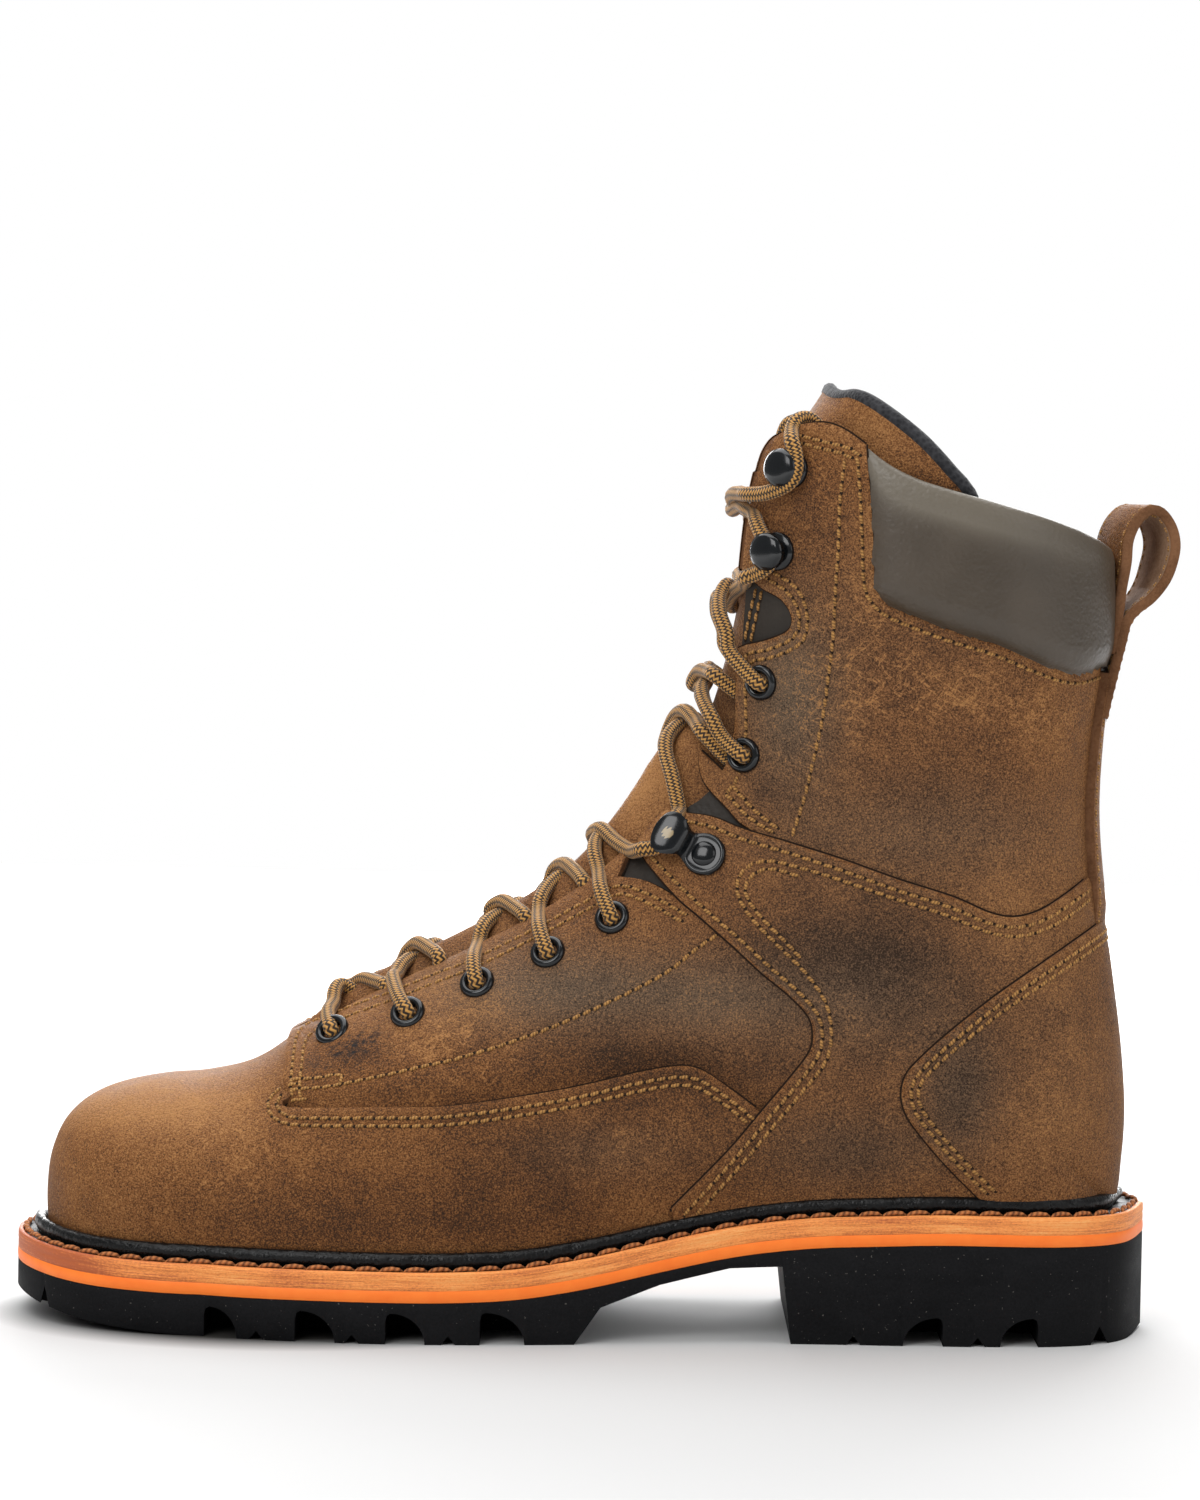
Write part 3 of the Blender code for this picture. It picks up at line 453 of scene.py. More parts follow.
    def at_angle(self, s: Array, angle: Array) -> Array:
        """Fraction up the cut at an angle round the last, from 0 degrees at the ridge to 180 at the back.

        Args:
            s: Section numbers.
            angle: Angles in degrees.

        Returns:
            Fractions.
        """
        row = self.section(s)
        turn = np.cos(np.radians(angle))
        above = row["full_at"] + (1.0 - row["full_at"]) * np.clip(turn, 0.0, 1.0) ** (2.0 / row["top"])
        below = row["full_at"] * (1.0 - np.clip(-turn, 0.0, 1.0) ** (2.0 / row["low"]))
        return np.where(turn > 0.0, above, below)

    def throat(self, s: Array, side: Side) -> Array:
        """Fraction up the cut where the upper stops: the ridge, or the edge of the lace facing."""
        return self.at_width(s, side, lookup(self.THROAT, s))

    def from_photo(self, pixels: Array) -> Array:
        """Sections and fractions of the outer side's points behind pixels of the photograph.

        Args:
            pixels: Pixel places, one in each row.

        Returns:
            A section and a fraction for each pixel.
        """
        found = np.array([self.grid[self.by_pixel.find((a, b, 0.0))[1]] for a, b in pixels])
        step_s, step_t = self.SEARCH_STEPS
        reach_s, reach_t = self.SEARCH_REACH
        for _ in range(3):
            s, t = found[:, 0], found[:, 1]
            here = self.view.pixels(self.point(s, t, Side.OUTER))
            ds = (self.view.pixels(self.point(s + step_s, t, Side.OUTER)) - here) / step_s
            dt = (self.view.pixels(self.point(s, t + step_t, Side.OUTER)) - here) / step_t
            miss = np.asarray(pixels) - here
            cross = ds[:, 0] * dt[:, 1] - ds[:, 1] * dt[:, 0]
            cross = np.where(np.abs(cross) < self.EDGE_ON, np.inf, cross)
            move_s = (miss[:, 0] * dt[:, 1] - miss[:, 1] * dt[:, 0]) / cross
            move_t = (ds[:, 0] * miss[:, 1] - ds[:, 1] * miss[:, 0]) / cross
            moves = np.stack([np.clip(move_s, -reach_s, reach_s), np.clip(move_t, -reach_t, reach_t)], axis=1)
            found = np.clip(found + moves, [0.0, 0.0], [self.TOP, 1.0])
        return found

    def beside(self, x: float, z: float) -> Array:
        """Section and fraction of the outer side's point at a side-view place."""
        return self.grid[self.by_side.find((x, z, 0.0))[1]]

    def traced(self, line: Pixels, spacing: float = 4.0) -> Array:
        """Sections and fractions along a smooth line through pixels of the photograph."""
        return self.from_photo(smooth_curve(line, spacing))

    def solid_line(self, places: Array, side: Side = Side.OUTER) -> Array:
        """Points of the outer face at sections and fractions."""
        return self.point(places[:, 0], places[:, 1], side)


# Finishes

class Painter:
    """Places and joins the shader nodes of one material."""

    def __init__(self, name: str) -> None:
        """Start a material with a Principled shader.

        Args:
            name: The material's name.
        """
        self.material = bpy.data.materials.new(name)
        self.material.use_nodes = True
        self.tree = self.material.node_tree
        self.shader = self.tree.nodes["Principled BSDF"]

    def node(self, kind: str, settings: Optional[dict] = None, **inputs: object) -> bpy.types.Node:
        """Add a node.

        Args:
            kind: Blender's name of the node.
            settings: Properties of the node itself.
            inputs: Values or sockets for its inputs, with spaces in their names written as underscores.

        Returns:
            The new node.
        """
        node = self.tree.nodes.new(kind)
        for key, value in (settings or {}).items():
            setattr(node, key, value)
        for key, value in inputs.items():
            self.feed(node.inputs[key.replace("_", " ")], value)
        return node

    def feed(self, socket: Socket, value: object) -> None:
        """Join a socket to another, or set its value.

        Args:
            socket: Input to set.
            value: A socket or a value.
        """
        if isinstance(value, Socket):
            self.tree.links.new(value, socket)
        else:
            socket.default_value = value

    def place(self, scale: Sequence[float] = (1.0, 1.0, 1.0), uv: bool = False) -> Socket:
        """Object or UV coordinates, stretched."""
        source = self.node("ShaderNodeTexCoord").outputs["UV" if uv else "Object"]
        return self.node("ShaderNodeMapping", Vector=source, Scale=tuple(scale)).outputs["Vector"]

    def noise(self, where: Socket, scale: float, detail: float = 3.0,
              roughness: float = 0.55) -> Socket:
        """Cloudy value from 0 to 1."""
        return self.node("ShaderNodeTexNoise", Vector=where, Scale=scale, Detail=detail,
                         Roughness=roughness).outputs["Fac"]

    def attribute(self, name: str) -> Socket:
        """Number that the mesh carries."""
        return self.node("ShaderNodeAttribute", {"attribute_name": name}).outputs["Fac"]

    def math(self, operation: str, a: object, b: object = 0.0) -> Socket:
        """One sum on two numbers.

        Args:
            operation: Blender's name of the sum.
            a: First number.
            b: Second number.

        Returns:
            The result.
        """
        node = self.node("ShaderNodeMath", {"operation": operation})
        self.feed(node.inputs[0], a)
        self.feed(node.inputs[1], b)
        return node.outputs[0]

    def add(self, a: object, b: object) -> Socket:
        """Sum of two numbers."""
        return self.math("ADD", a, b)

    def times(self, a: object, b: object) -> Socket:
        """Product of two numbers."""
        return self.math("MULTIPLY", a, b)

    def cells(self, where: Socket, scale: float, feature: str) -> Socket:
        """Distance within a pattern of cells."""
        node = self.node("ShaderNodeTexVoronoi", {"feature": feature}, Vector=where, Scale=scale)
        return node.outputs["Distance"]

    def cord_uv(self) -> tuple[Socket, Socket]:
        """UV along and round a thread or cord."""
        uv = self.node("ShaderNodeSeparateXYZ", Vector=self.place(uv=True))
        return uv.outputs["X"], uv.outputs["Y"]

    def spread(self, value: object, low: float, high: float, to_low: float = 0.0,
               to_high: float = 1.0) -> Socket:
        """Stretch a number from one range to another and stop at its ends."""
        ends = {"From_Min": low, "From_Max": high, "To_Min": to_low, "To_Max": to_high}
        return self.node("ShaderNodeMapRange", Value=value, **ends).outputs["Result"]

    def ramp(self, value: object, stops: Sequence[tuple[float, Colour]]) -> Socket:
        """Colours along a number.

        Args:
            value: The number.
            stops: Places and their colours.

        Returns:
            The colour.
        """
        node = self.node("ShaderNodeValToRGB", Fac=value)
        marks = node.color_ramp.elements
        while len(marks) < len(stops):
            marks.new(0.5)
        for mark, (at, colour) in zip(marks, stops):
            mark.position = at
            mark.color = (*colour, 1.0)
        return node.outputs["Color"]

    def mix(self, factor: object, a: object, b: object) -> Socket:
        """Blend two colours.

        Args:
            factor: Share of the second.
            a: First colour.
            b: Second colour.

        Returns:
            The blend.
        """
        node = self.node("ShaderNodeMix", {"data_type": "RGBA"})
        self.feed(node.inputs[0], factor)
        self.feed(node.inputs[6], a if isinstance(a, Socket) else (*a, 1.0))
        self.feed(node.inputs[7], b if isinstance(b, Socket) else (*b, 1.0))
        return node.outputs[2]

    def bump(self, height: object, distance: float, strength: float = 1.0,
             normal: Optional[Socket] = None) -> Socket:
        """Small relief, its depth in metres.

        Args:
            height: Relief from 0 to 1.
            distance: Its depth.
            strength: How much of it shows.
            normal: Relief that lies under it.

        Returns:
            The new normal.
        """
        node = self.node("ShaderNodeBump", Height=height, Distance=distance, Strength=strength)
        if normal is not None:
            self.feed(node.inputs["Normal"], normal)
        return node.outputs["Normal"]

    def shade(self, **inputs: object) -> Material:
        """Set the shader's sockets and give the finished material.

        Args:
            inputs: Values or sockets, named as the shader's own.

        Returns:
            The material.
        """
        for key, value in inputs.items():
            socket = self.shader.inputs[key.replace("_", " ")]
            self.feed(socket, (*value, 1.0) if isinstance(value, tuple) and len(value) == 3 else value)
        return self.material


@dataclass(frozen=True)
class Finish:
    """One finish, made into a material when it is first asked for."""

    name: str

    def material(self) -> Material:
        """The finish's material."""
        return bpy.data.materials.get(self.name) or self.paint(Painter(self.name))

    def paint(self, painter: Painter) -> Material:
        """Lay the finish's nodes.

        Args:
            painter: Places the nodes.

        Returns:
            The finished material.
        """
        raise NotImplementedError


@dataclass(frozen=True)
class OiledLeather(Finish):
    """Oiled pull-up leather: mottled, with smoky patches and a fine dry grain."""

    deep: Colour = (0.026, 0.015, 0.009)
    dark: Colour = (0.080, 0.034, 0.014)
    middle: Colour = (0.178, 0.070, 0.022)
    light: Colour = (0.350, 0.170, 0.062)
    haze: Colour = (0.135, 0.094, 0.062)
    smudge: Colour = (0.016, 0.013, 0.012)
    roughness: float = 0.64

    WISPS = ((0.45, 0.46), (-0.85, 0.38))
    WISP_SIZE = (0.014, 0.006, 0.0038)

    def paint(self, painter: Painter) -> Material:
        """Lay the finish's nodes."""
        where = painter.place()
        mottle = painter.noise(where, 110.0, 6.0, 0.7)
        speck = painter.noise(where, 2300.0, 2.0, 0.7)
        pores = painter.spread(painter.cells(where, 620.0, "DISTANCE_TO_EDGE"), 0.0, 0.22)
        level = painter.add(painter.attribute("tone"), 0.53)
        clouds = ((painter.noise(where, 15.0, 5.0, 0.62), 0.68), (mottle, 0.42), (speck, 1.85), (pores, 0.10))
        for cloud, share in clouds:
            level = painter.add(level, painter.times(painter.math("SUBTRACT", cloud, 0.5), share))
        for turn, share in self.WISPS:
            wisp = painter.node("ShaderNodeMapping", {"vector_type": "TEXTURE"}, Vector=where,
                                Rotation=(0.0, turn, 0.0), Scale=self.WISP_SIZE).outputs["Vector"]
            veins = painter.math("SUBTRACT", painter.noise(wisp, 1.0, 3.0, 0.6), 0.5)
            lines = painter.spread(painter.math("ABSOLUTE", veins), 0.0, 0.024, 1.0, 0.0)
            broken = painter.times(painter.attribute("wear"), painter.spread(mottle, 0.38, 0.52, 0.0, share))
            level = painter.add(level, painter.times(lines, broken))
        browns = ((0.08, self.deep), (0.34, self.dark), (0.56, self.middle), (0.98, self.light))
        greys = ((0.05, self.deep), (0.62, self.haze), (1.0, self.light))
        brown, grey = painter.ramp(level, browns), painter.ramp(level, greys)
        colour = painter.mix(painter.attribute("haze"), brown, grey)
        flecks = painter.spread(painter.noise(where, 420.0, 4.0, 0.7), 0.48, 0.60)
        colour = painter.mix(painter.times(flecks, painter.attribute("fleck")), colour, self.smudge)
        relief = painter.bump(painter.add(painter.times(pores, 0.5), speck), 0.00028, 0.8)
        relief = painter.bump(mottle, 0.0007, 0.35, relief)
        rough = painter.spread(mottle, 0.3, 0.7, self.roughness - 0.08, self.roughness + 0.12)
        return painter.shade(Base_Color=colour, Roughness=rough, Normal=relief, Specular_IOR_Level=0.10)


@dataclass(frozen=True)
class SmoothLeather(Finish):
    """Smooth dark leather of the collar and gussets, with a fine pebbled grain and a painted sheen."""

    colour: Colour = (0.049, 0.036, 0.0235)
    worn: Colour = (0.062, 0.046, 0.031)
    # Colour of the painted sheen.
    sheen: Colour = (0.205, 0.180, 0.140)
    roughness: float = 0.44
    gloss: float = 0.46

    def paint(self, painter: Painter) -> Material:
        """Lay the finish's nodes."""
        where = painter.place()
        cloud = painter.noise(where, 60.0, 3.0)
        colour = painter.mix(painter.spread(cloud, 0.35, 0.7), self.colour, self.worn)
        # Painted sheen: the tone attribute lightens the colour towards the sheen colour.
        colour = painter.mix(painter.attribute("tone"), colour, self.sheen)
        pebble = painter.cells(where, 900.0, "SMOOTH_F1")
        wrinkle = painter.noise(painter.place((1.0, 1.0, 1.6)), 420.0, 3.0, 0.6)
        relief = painter.bump(painter.add(pebble, wrinkle), 0.00024, 0.6)
        rough = painter.spread(cloud, 0.3, 0.7, self.roughness - 0.05, self.roughness + 0.06)
        return painter.shade(Base_Color=colour, Roughness=rough, Normal=relief, Specular_IOR_Level=self.gloss)


@dataclass(frozen=True)
class RawEdge(Finish):
    """Cut edge or flesh side of leather: fibrous and rust brown."""

    colour: Colour = (0.105, 0.046, 0.020)
    pale: Colour = (0.20, 0.095, 0.045)

    def paint(self, painter: Painter) -> Material:
        """Lay the finish's nodes."""
        where = painter.place()
        fibre = painter.noise(where, 1100.0, 3.0, 0.7)
        cloud = painter.noise(where, 120.0, 2.0)
        level = painter.times(painter.add(fibre, cloud), 0.5)
        colour = painter.mix(painter.spread(level, 0.35, 0.65), self.colour, self.pale)
        relief = painter.bump(fibre, 0.0003, 0.8)
        return painter.shade(Base_Color=colour, Roughness=0.9, Normal=relief, Specular_IOR_Level=0.15)


@dataclass(frozen=True)
class Thread(Finish):
    """Twisted sewing thread, with painted shade between its plies; its UV runs along and round each stitch.
    """

    light: Colour = (0.48, 0.245, 0.072)
    dark: Colour = (0.065, 0.030, 0.011)
    turns: float = 3.0

    def paint(self, painter: Painter) -> Material:
        """Lay the finish's nodes."""
        along, around = painter.cord_uv()
        # Painted shade: the ply pattern darkens the thread between its plies; the wear cloud adds uneven
        # tone.
        strand = painter.math("PINGPONG", painter.add(painter.times(along, self.turns), around), 0.5)
        wear = painter.noise(painter.place(), 300.0, 2.0)
        level = painter.add(painter.times(strand, 1.1), painter.times(wear, 0.5))
        colour = painter.mix(painter.spread(level, 0.15, 0.8), self.dark, self.light)
        relief = painter.bump(strand, 0.0003, 0.7)
        return painter.shade(Base_Color=colour, Roughness=0.75, Normal=relief, Specular_IOR_Level=0.25)


@dataclass(frozen=True)
class LaceCord(Finish):
    """Round woven cord, gold with dark brown lines; UV runs in millimetres along and once round."""

    gold: Colour = (0.58, 0.300, 0.074)
    shaded: Colour = (0.22, 0.105, 0.030)
    brown: Colour = (0.022, 0.013, 0.008)
    lines: float = 7.0
    braid: float = 1.0

    def paint(self, painter: Painter) -> Material:
        """Lay the finish's nodes."""
        along, around = painter.cord_uv()
        beat, lane = painter.times(along, 1.0 / self.braid), painter.times(around, self.lines)
        weave = painter.math("PINGPONG", beat, 0.5)
        band = painter.math("PINGPONG", painter.add(lane, painter.times(weave, 1.1)), 0.5)
        tick = painter.math("PINGPONG", painter.add(beat, lane), 0.5)
        fibre = painter.noise(painter.place(), 1600.0, 2.0)
        lit = painter.spread(painter.add(tick, painter.times(fibre, 0.4)), 0.2, 0.7)
        dark = painter.spread(band, 0.19, 0.30, 1.0, 0.0)
        colour = painter.mix(dark, painter.mix(lit, self.shaded, self.gold), self.brown)
        relief = painter.bump(painter.add(band, tick), 0.00035, 0.7)
        return painter.shade(Base_Color=colour, Roughness=0.7, Normal=relief, Specular_IOR_Level=0.25,
                             Sheen_Weight=0.15, Sheen_Roughness=0.5)


@dataclass(frozen=True)
class Enamel(Finish):
    """Glossy black enamel on the eyelets and hooks."""

    colour: Colour = (0.004, 0.005, 0.006)
    chip: Colour = (0.30, 0.23, 0.13)

    def paint(self, painter: Painter) -> Material:
        """Lay the finish's nodes."""
        where = painter.place()
        orange_peel = painter.noise(where, 700.0, 1.0)
        chipped = painter.spread(painter.attribute("chip"), 0.45, 0.55)
        colour = painter.mix(chipped, self.colour, self.chip)
        rough = painter.spread(painter.noise(where, 90.0, 2.0), 0.3, 0.7, 0.12, 0.22)
        relief = painter.bump(orange_peel, 0.00003, 0.2)
        return painter.shade(Base_Color=colour, Roughness=rough, Normal=relief, Specular_IOR_Level=0.42)


@dataclass(frozen=True)
class Rubber(Finish):
    """Matte black moulded rubber with a few pale specks of dust."""

    colour: Colour = (0.0050, 0.0052, 0.0058)
    scuffed: Colour = (0.0105, 0.0105, 0.0115)
    dust: Colour = (0.085, 0.080, 0.072)

    def paint(self, painter: Painter) -> Material:
        """Lay the finish's nodes."""
        where = painter.place()
        cloud = painter.noise(painter.place((1.0, 1.0, 2.5)), 55.0, 4.0, 0.6)
        fine = painter.noise(where, 1400.0, 3.0, 0.7)
        level = painter.add(painter.times(cloud, 0.5), painter.times(fine, 0.5))
        base = painter.mix(painter.spread(level, 0.38, 0.66), self.colour, self.scuffed)
        dust = painter.spread(painter.noise(where, 1300.0, 1.0), 0.735, 0.78)
        colour = painter.mix(dust, base, self.dust)
        return painter.shade(Base_Color=colour, Roughness=painter.spread(cloud, 0.3, 0.7, 0.55, 0.72),
                             Normal=painter.bump(fine, 0.00012, 0.6), Specular_IOR_Level=0.08)


@dataclass(frozen=True)
class WeltEdge(Finish):
    """Tan leatherboard edge with fine lines along it; UV runs in millimetres along and up."""

    tan: Colour = (0.92, 0.310, 0.070)
    rust: Colour = (0.44, 0.100, 0.026)
    pale: Colour = (0.96, 0.48, 0.16)

    def paint(self, painter: Painter) -> Material:
        """Lay the finish's nodes."""
        lines = painter.noise(painter.place((0.10, 2.4, 1.0), uv=True), 1.0, 5.0, 0.65)
        speckle = painter.noise(painter.place((1.3, 1.9, 1.0), uv=True), 1.0, 3.0, 0.7)
        stains = painter.noise(painter.place((0.03, 0.25, 1.0), uv=True), 1.0, 3.0, 0.6)
        level = painter.add(painter.times(lines, 0.6), painter.times(stains, 0.4))
        level = painter.add(level, painter.attribute("tone"))
        level = painter.add(level, painter.spread(speckle, 0.2, 0.8, -0.14, 0.14))
        colour = painter.ramp(level, ((0.30, self.rust), (0.52, self.tan), (0.72, self.pale)))
        return painter.shade(Base_Color=colour, Roughness=0.55, Normal=painter.bump(lines, 0.0004, 0.6),
                             Specular_IOR_Level=0.4)


@dataclass(frozen=True)
class OrangeLayer(Finish):
    """Smooth bright orange layer, slightly uneven."""

    colour: Colour = (1.0, 0.225, 0.024)
    deep: Colour = (0.96, 0.185, 0.016)

    def paint(self, painter: Painter) -> Material:
        """Lay the finish's nodes."""
        cloud = painter.noise(painter.place(), 160.0, 4.0, 0.6)
        colour = painter.mix(painter.spread(cloud, 0.35, 0.7), self.colour, self.deep)
        return painter.shade(Base_Color=colour, Roughness=0.5, Normal=painter.bump(cloud, 0.0001, 0.5),
                             Specular_IOR_Level=0.35)


@dataclass(frozen=True)
class BlackRand(Finish):
    """Semi-gloss black strip with fine wrinkles."""

    colour: Colour = (0.0028, 0.0028, 0.0031)
    roughness: float = 0.27
    worn: Colour = (0.009, 0.009, 0.009)

    def paint(self, painter: Painter) -> Material:
        """Lay the finish's nodes."""
        where = painter.place()
        wrinkle = painter.noise(where, 210.0, 4.0, 0.65)
        fine = painter.noise(where, 1200.0, 2.0)
        relief = painter.bump(wrinkle, 0.0012, 0.8, painter.bump(fine, 0.0002, 0.7))
        rough = painter.spread(wrinkle, 0.3, 0.7, self.roughness - 0.08, self.roughness + 0.16)
        colour = painter.mix(painter.spread(fine, 0.5, 0.8), self.colour, self.worn)
        return painter.shade(Base_Color=colour, Roughness=rough, Normal=relief, Specular_IOR_Level=0.22)


@dataclass(frozen=True)
class Cloth(Finish):
    """Close woven lining cloth."""

    colour: Colour = (0.014, 0.014, 0.016)
    lift: Colour = (0.040, 0.040, 0.044)
    pitch: float = 900.0

    def paint(self, painter: Painter) -> Material:
        """Lay the finish's nodes."""
        where = painter.place()
        weave = painter.cells(where, self.pitch, "F1")
        cloud = painter.noise(where, 90.0, 3.0)
        level = painter.times(weave, cloud)
        colour = painter.mix(painter.spread(level, 0.1, 0.5), self.colour, self.lift)
        return painter.shade(Base_Color=colour, Roughness=0.95, Normal=painter.bump(weave, 0.0004, 0.7),
                             Sheen_Weight=0.2, Sheen_Roughness=0.5, Specular_IOR_Level=0.2)


@dataclass(frozen=True)
class NeedleHoleShade(Finish):
    """Painted shade: the dark inside a needle hole or down a deep seam."""

    colour: Colour = (0.016, 0.010, 0.007)
    fibre: Colour = (0.030, 0.019, 0.012)

    def paint(self, painter: Painter) -> Material:
        """Lay the finish's nodes."""
        fine = painter.noise(painter.place(), 900.0, 1.0)
        colour = painter.mix(fine, self.colour, self.fibre)
        return painter.shade(Base_Color=colour, Roughness=0.9, Specular_IOR_Level=0.1)


LEATHER = OiledLeather("oiled_brown_leather")
COLLAR_LEATHER = SmoothLeather("smooth_collar_leather")
GUSSET_LEATHER = SmoothLeather("gusset_leather", (0.026, 0.021, 0.017), (0.036, 0.029, 0.023), roughness=0.55,
                               gloss=0.2)
CUT_EDGE = RawEdge("leather_cut_edge")
FLESH = RawEdge("leather_flesh_side", (0.17, 0.095, 0.055), (0.30, 0.19, 0.12))
THREAD = Thread("khaki_thread")
WELT_THREAD = Thread("rust_welt_thread", (0.52, 0.185, 0.058), (0.060, 0.017, 0.007), 4.0)
LACE_CORD = LaceCord("gold_brown_lace")
ENAMEL = Enamel("black_enamel_gloss")
RUBBER = Rubber("black_sole_rubber")
WELT_TAN = WeltEdge("tan_welt_edge")
WELT_BLACK = BlackRand("black_welt_top", (0.008, 0.008, 0.008), 0.50)
ORANGE = OrangeLayer("orange_midsole")
RAND_BLACK = BlackRand("black_rand_gloss")
LINING = Cloth("black_lining_cloth")
INSOLE_CLOTH = Cloth("insole_cover_cloth", (0.045, 0.042, 0.038), (0.085, 0.080, 0.072), 700.0)
HOLE_SHADE = NeedleHoleShade("needle_hole")


# Meshes

@dataclass
class Draft:
    """Points and faces of one piece while it is being made, in drawn millimetres."""

    points: list = field(default_factory=list)
    faces: list = field(default_factory=list)
    slots: list = field(default_factory=list)
    uvs: dict = field(default_factory=dict)
    numbers: dict = field(default_factory=dict)

    def add(self, points: Array, faces: Sequence, slot: int = 0, uvs: Optional[Array] = None,
            **numbers: Array) -> int:
        """Add points and the faces between them.

        Args:
            points: New points.
            faces: Corner numbers that count from the first new point.
            slot: Material slot of the new faces.
            uvs: A UV pair for each new point.
            numbers: Named numbers for each new point.

        Returns:
            The number of the first new point.
        """
        first = len(self.points)
        self.points.extend(np.asarray(points, float))
        self.faces.extend(tuple(first + i for i in face) for face in faces)
        self.slots.extend([slot] * len(faces))
        if uvs is not None:
            self.uvs.update((first + i, tuple(uv)) for i, uv in enumerate(uvs))
        for name, values in numbers.items():
            kept = self.numbers.setdefault(name, {})
            kept.update((first + i, float(value)) for i, value in enumerate(values))
        return first

    def grid(self, points: Array, slot: int = 0, wrap: bool = False, flip: bool = False,
             uvs: Optional[Array] = None, **numbers: Array) -> int:
        """Add a grid of points, rows by columns, with a face between each four.

        Args:
            points: Rows by columns of points.
            slot: Material slot.
            wrap: Whether the last column meets the first.
            flip: Whether the faces turn round.
            uvs: A UV pair for each point.
            numbers: Named numbers for each point.

        Returns:
            The number of the first new point.
        """
        rows, columns = points.shape[:2]
        faces = []
        for i in range(rows - 1):
            for j in range(columns if wrap else columns - 1):
                k = (j + 1) % columns
                face = (i * columns + j, (i + 1) * columns + j, (i + 1) * columns + k, i * columns + k)
                faces.append(face[::-1] if flip else face)
        flat = {name: np.asarray(v).reshape(-1) for name, v in numbers.items()}
        pairs = None if uvs is None else uvs.reshape(-1, 2)
        return self.add(points.reshape(-1, 3), faces, slot, pairs, **flat)

    def walls(self, top: Array, low: Array, slot: int = 0) -> None:
        """Close the four sides between two grids, one over the other.

        Args:
            top: Upper grid.
            low: Lower grid.
            slot: Material slot.
        """
        sides = ((top[:, 0], low[:, 0]), (low[:, -1], top[:, -1]), (low[0], top[0]), (top[-1], low[-1]))
        for a, b in sides:
            self.grid(np.stack([a, b], axis=1), slot, flip=True)

    def build(self, name: str, finishes: Sequence[Finish], weld: float = 0.0,
              sharp: float = 40.0) -> Piece:
        """Make the piece and let it ride on the boot.

        Args:
            name: The piece's name.
            finishes: One finish for each material slot.
            weld: Distance in millimetres under which points are joined, or 0 for none.
            sharp: Angle in degrees over which an edge stays sharp.

        Returns:
            The new object.
        """
        mesh = bpy.data.meshes.new(name)
        points = (np.array(self.points) + SHIFT) * MM
        mesh.from_pydata(points.tolist(), [], self.faces)
        mesh.polygons.foreach_set("material_index", np.array(self.slots, np.int32))
        for label, values in self.numbers.items():
            numbers = mesh.attributes.new(label, "FLOAT", "POINT")
            numbers.data.foreach_set("value", [values.get(i, 0.0) for i in range(len(points))])
        if self.uvs:
            layer = mesh.uv_layers.new(name="UVMap")
            corners = np.zeros(len(mesh.loops), np.int32)
            mesh.loops.foreach_get("vertex_index", corners)
            pairs = [self.uvs.get(int(i), (0.0, 0.0)) for i in corners]
            layer.data.foreach_set("uv", [value for pair in pairs for value in pair])
        if weld:
            bm = bmesh.new()
            bm.from_mesh(mesh)
            bmesh.ops.remove_doubles(bm, verts=bm.verts, dist=weld * MM)
            bm.to_mesh(mesh)
            bm.free()
        for finish in finishes:
            mesh.materials.append(finish.material())
        mesh.shade_smooth()
        mesh.set_sharp_from_angle(angle=math.radians(sharp))
        piece = bpy.data.objects.new(name, mesh)
        bpy.context.scene.collection.objects.link(piece)
        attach(piece, "root")
        LOG.info("%s: %d faces", name, len(mesh.polygons))
        return piece


def tube(draft: Draft, line: Array, radius: float, sides: int) -> None:
    """Round tube along a line, with UV in millimetres along it and once round it.

    Args:
        draft: Takes the tube.
        line: Its middle line.
        radius: Half its thickness.
        sides: Faces round it.
    """
    along = unit(np.gradient(line, axis=0))
    run = run_along(line)
    side = np.cross(along[0], TUBE_START)
    rings, uvs = [], []
    angles = np.linspace(0.0, 2 * math.pi, sides + 1)
    for point, way, length in zip(line, along, run):
        side = side - way * np.dot(side, way)
        side /= np.linalg.norm(side)
        other = np.cross(way, side)
        rings.append([point + radius * (side * math.cos(a) + other * math.sin(a)) for a in angles])
        uvs.append([(length, a / (2 * math.pi)) for a in angles])
    rings = np.array(rings)
    draft.grid(rings, flip=True, uvs=np.array(uvs))
    for ring, way in ((rings[0], 1), (rings[-1], -1)):
        draft.add(ring[:-1], [tuple(range(sides))[::-way]])


def flat_fill(outline: Array, spacing: float) -> tuple[Array, list]:
    """Fill a closed outline on the last with triangles.

    Args:
        outline: Sections and fractions along the outline.
        spacing: Rough distance between the new points, in millimetres.

    Returns:
        Sections and fractions of all points, and the triangles between them.
    """
    scale = np.array(PANEL_SCALE)
    flat = outline * scale
    low, high = flat.min(axis=0), flat.max(axis=0)
    columns = np.arange(low[0], high[0], spacing)
    rows = np.arange(low[1], high[1], spacing * 0.866)
    grid = np.array([(x + (spacing / 2 if j % 2 else 0.0), y) for j, y in enumerate(rows) for x in columns])
    grid = grid[inside(grid, flat)]
    border = resample(np.vstack([flat, flat[:1]]), 0.4)
    clear = near(grid, border) > spacing * 0.5
    points = np.vstack([flat, grid[clear]])
    edges = [(i, (i + 1) % len(flat)) for i in range(len(flat))]
    verts, _, faces, _, _, _ = delaunay_2d_cdt([Vector(p) for p in points], edges, [], 1, 1e-5)
    return np.array([tuple(v) for v in verts]) / scale, [tuple(f) for f in faces]


# Upper

@dataclass(frozen=True)
class Mark:
    """Soft patch of tone on the leather: place and radii in pixels, and how much lighter it is."""

    across: float
    down: float
    wide: float
    high: float
    tone: float


@dataclass(frozen=True)
class Crease:
    """Soft trough or ridge in the leather, along pixels of the photograph."""

    line: Pixels
    depth: float
    half_width: float


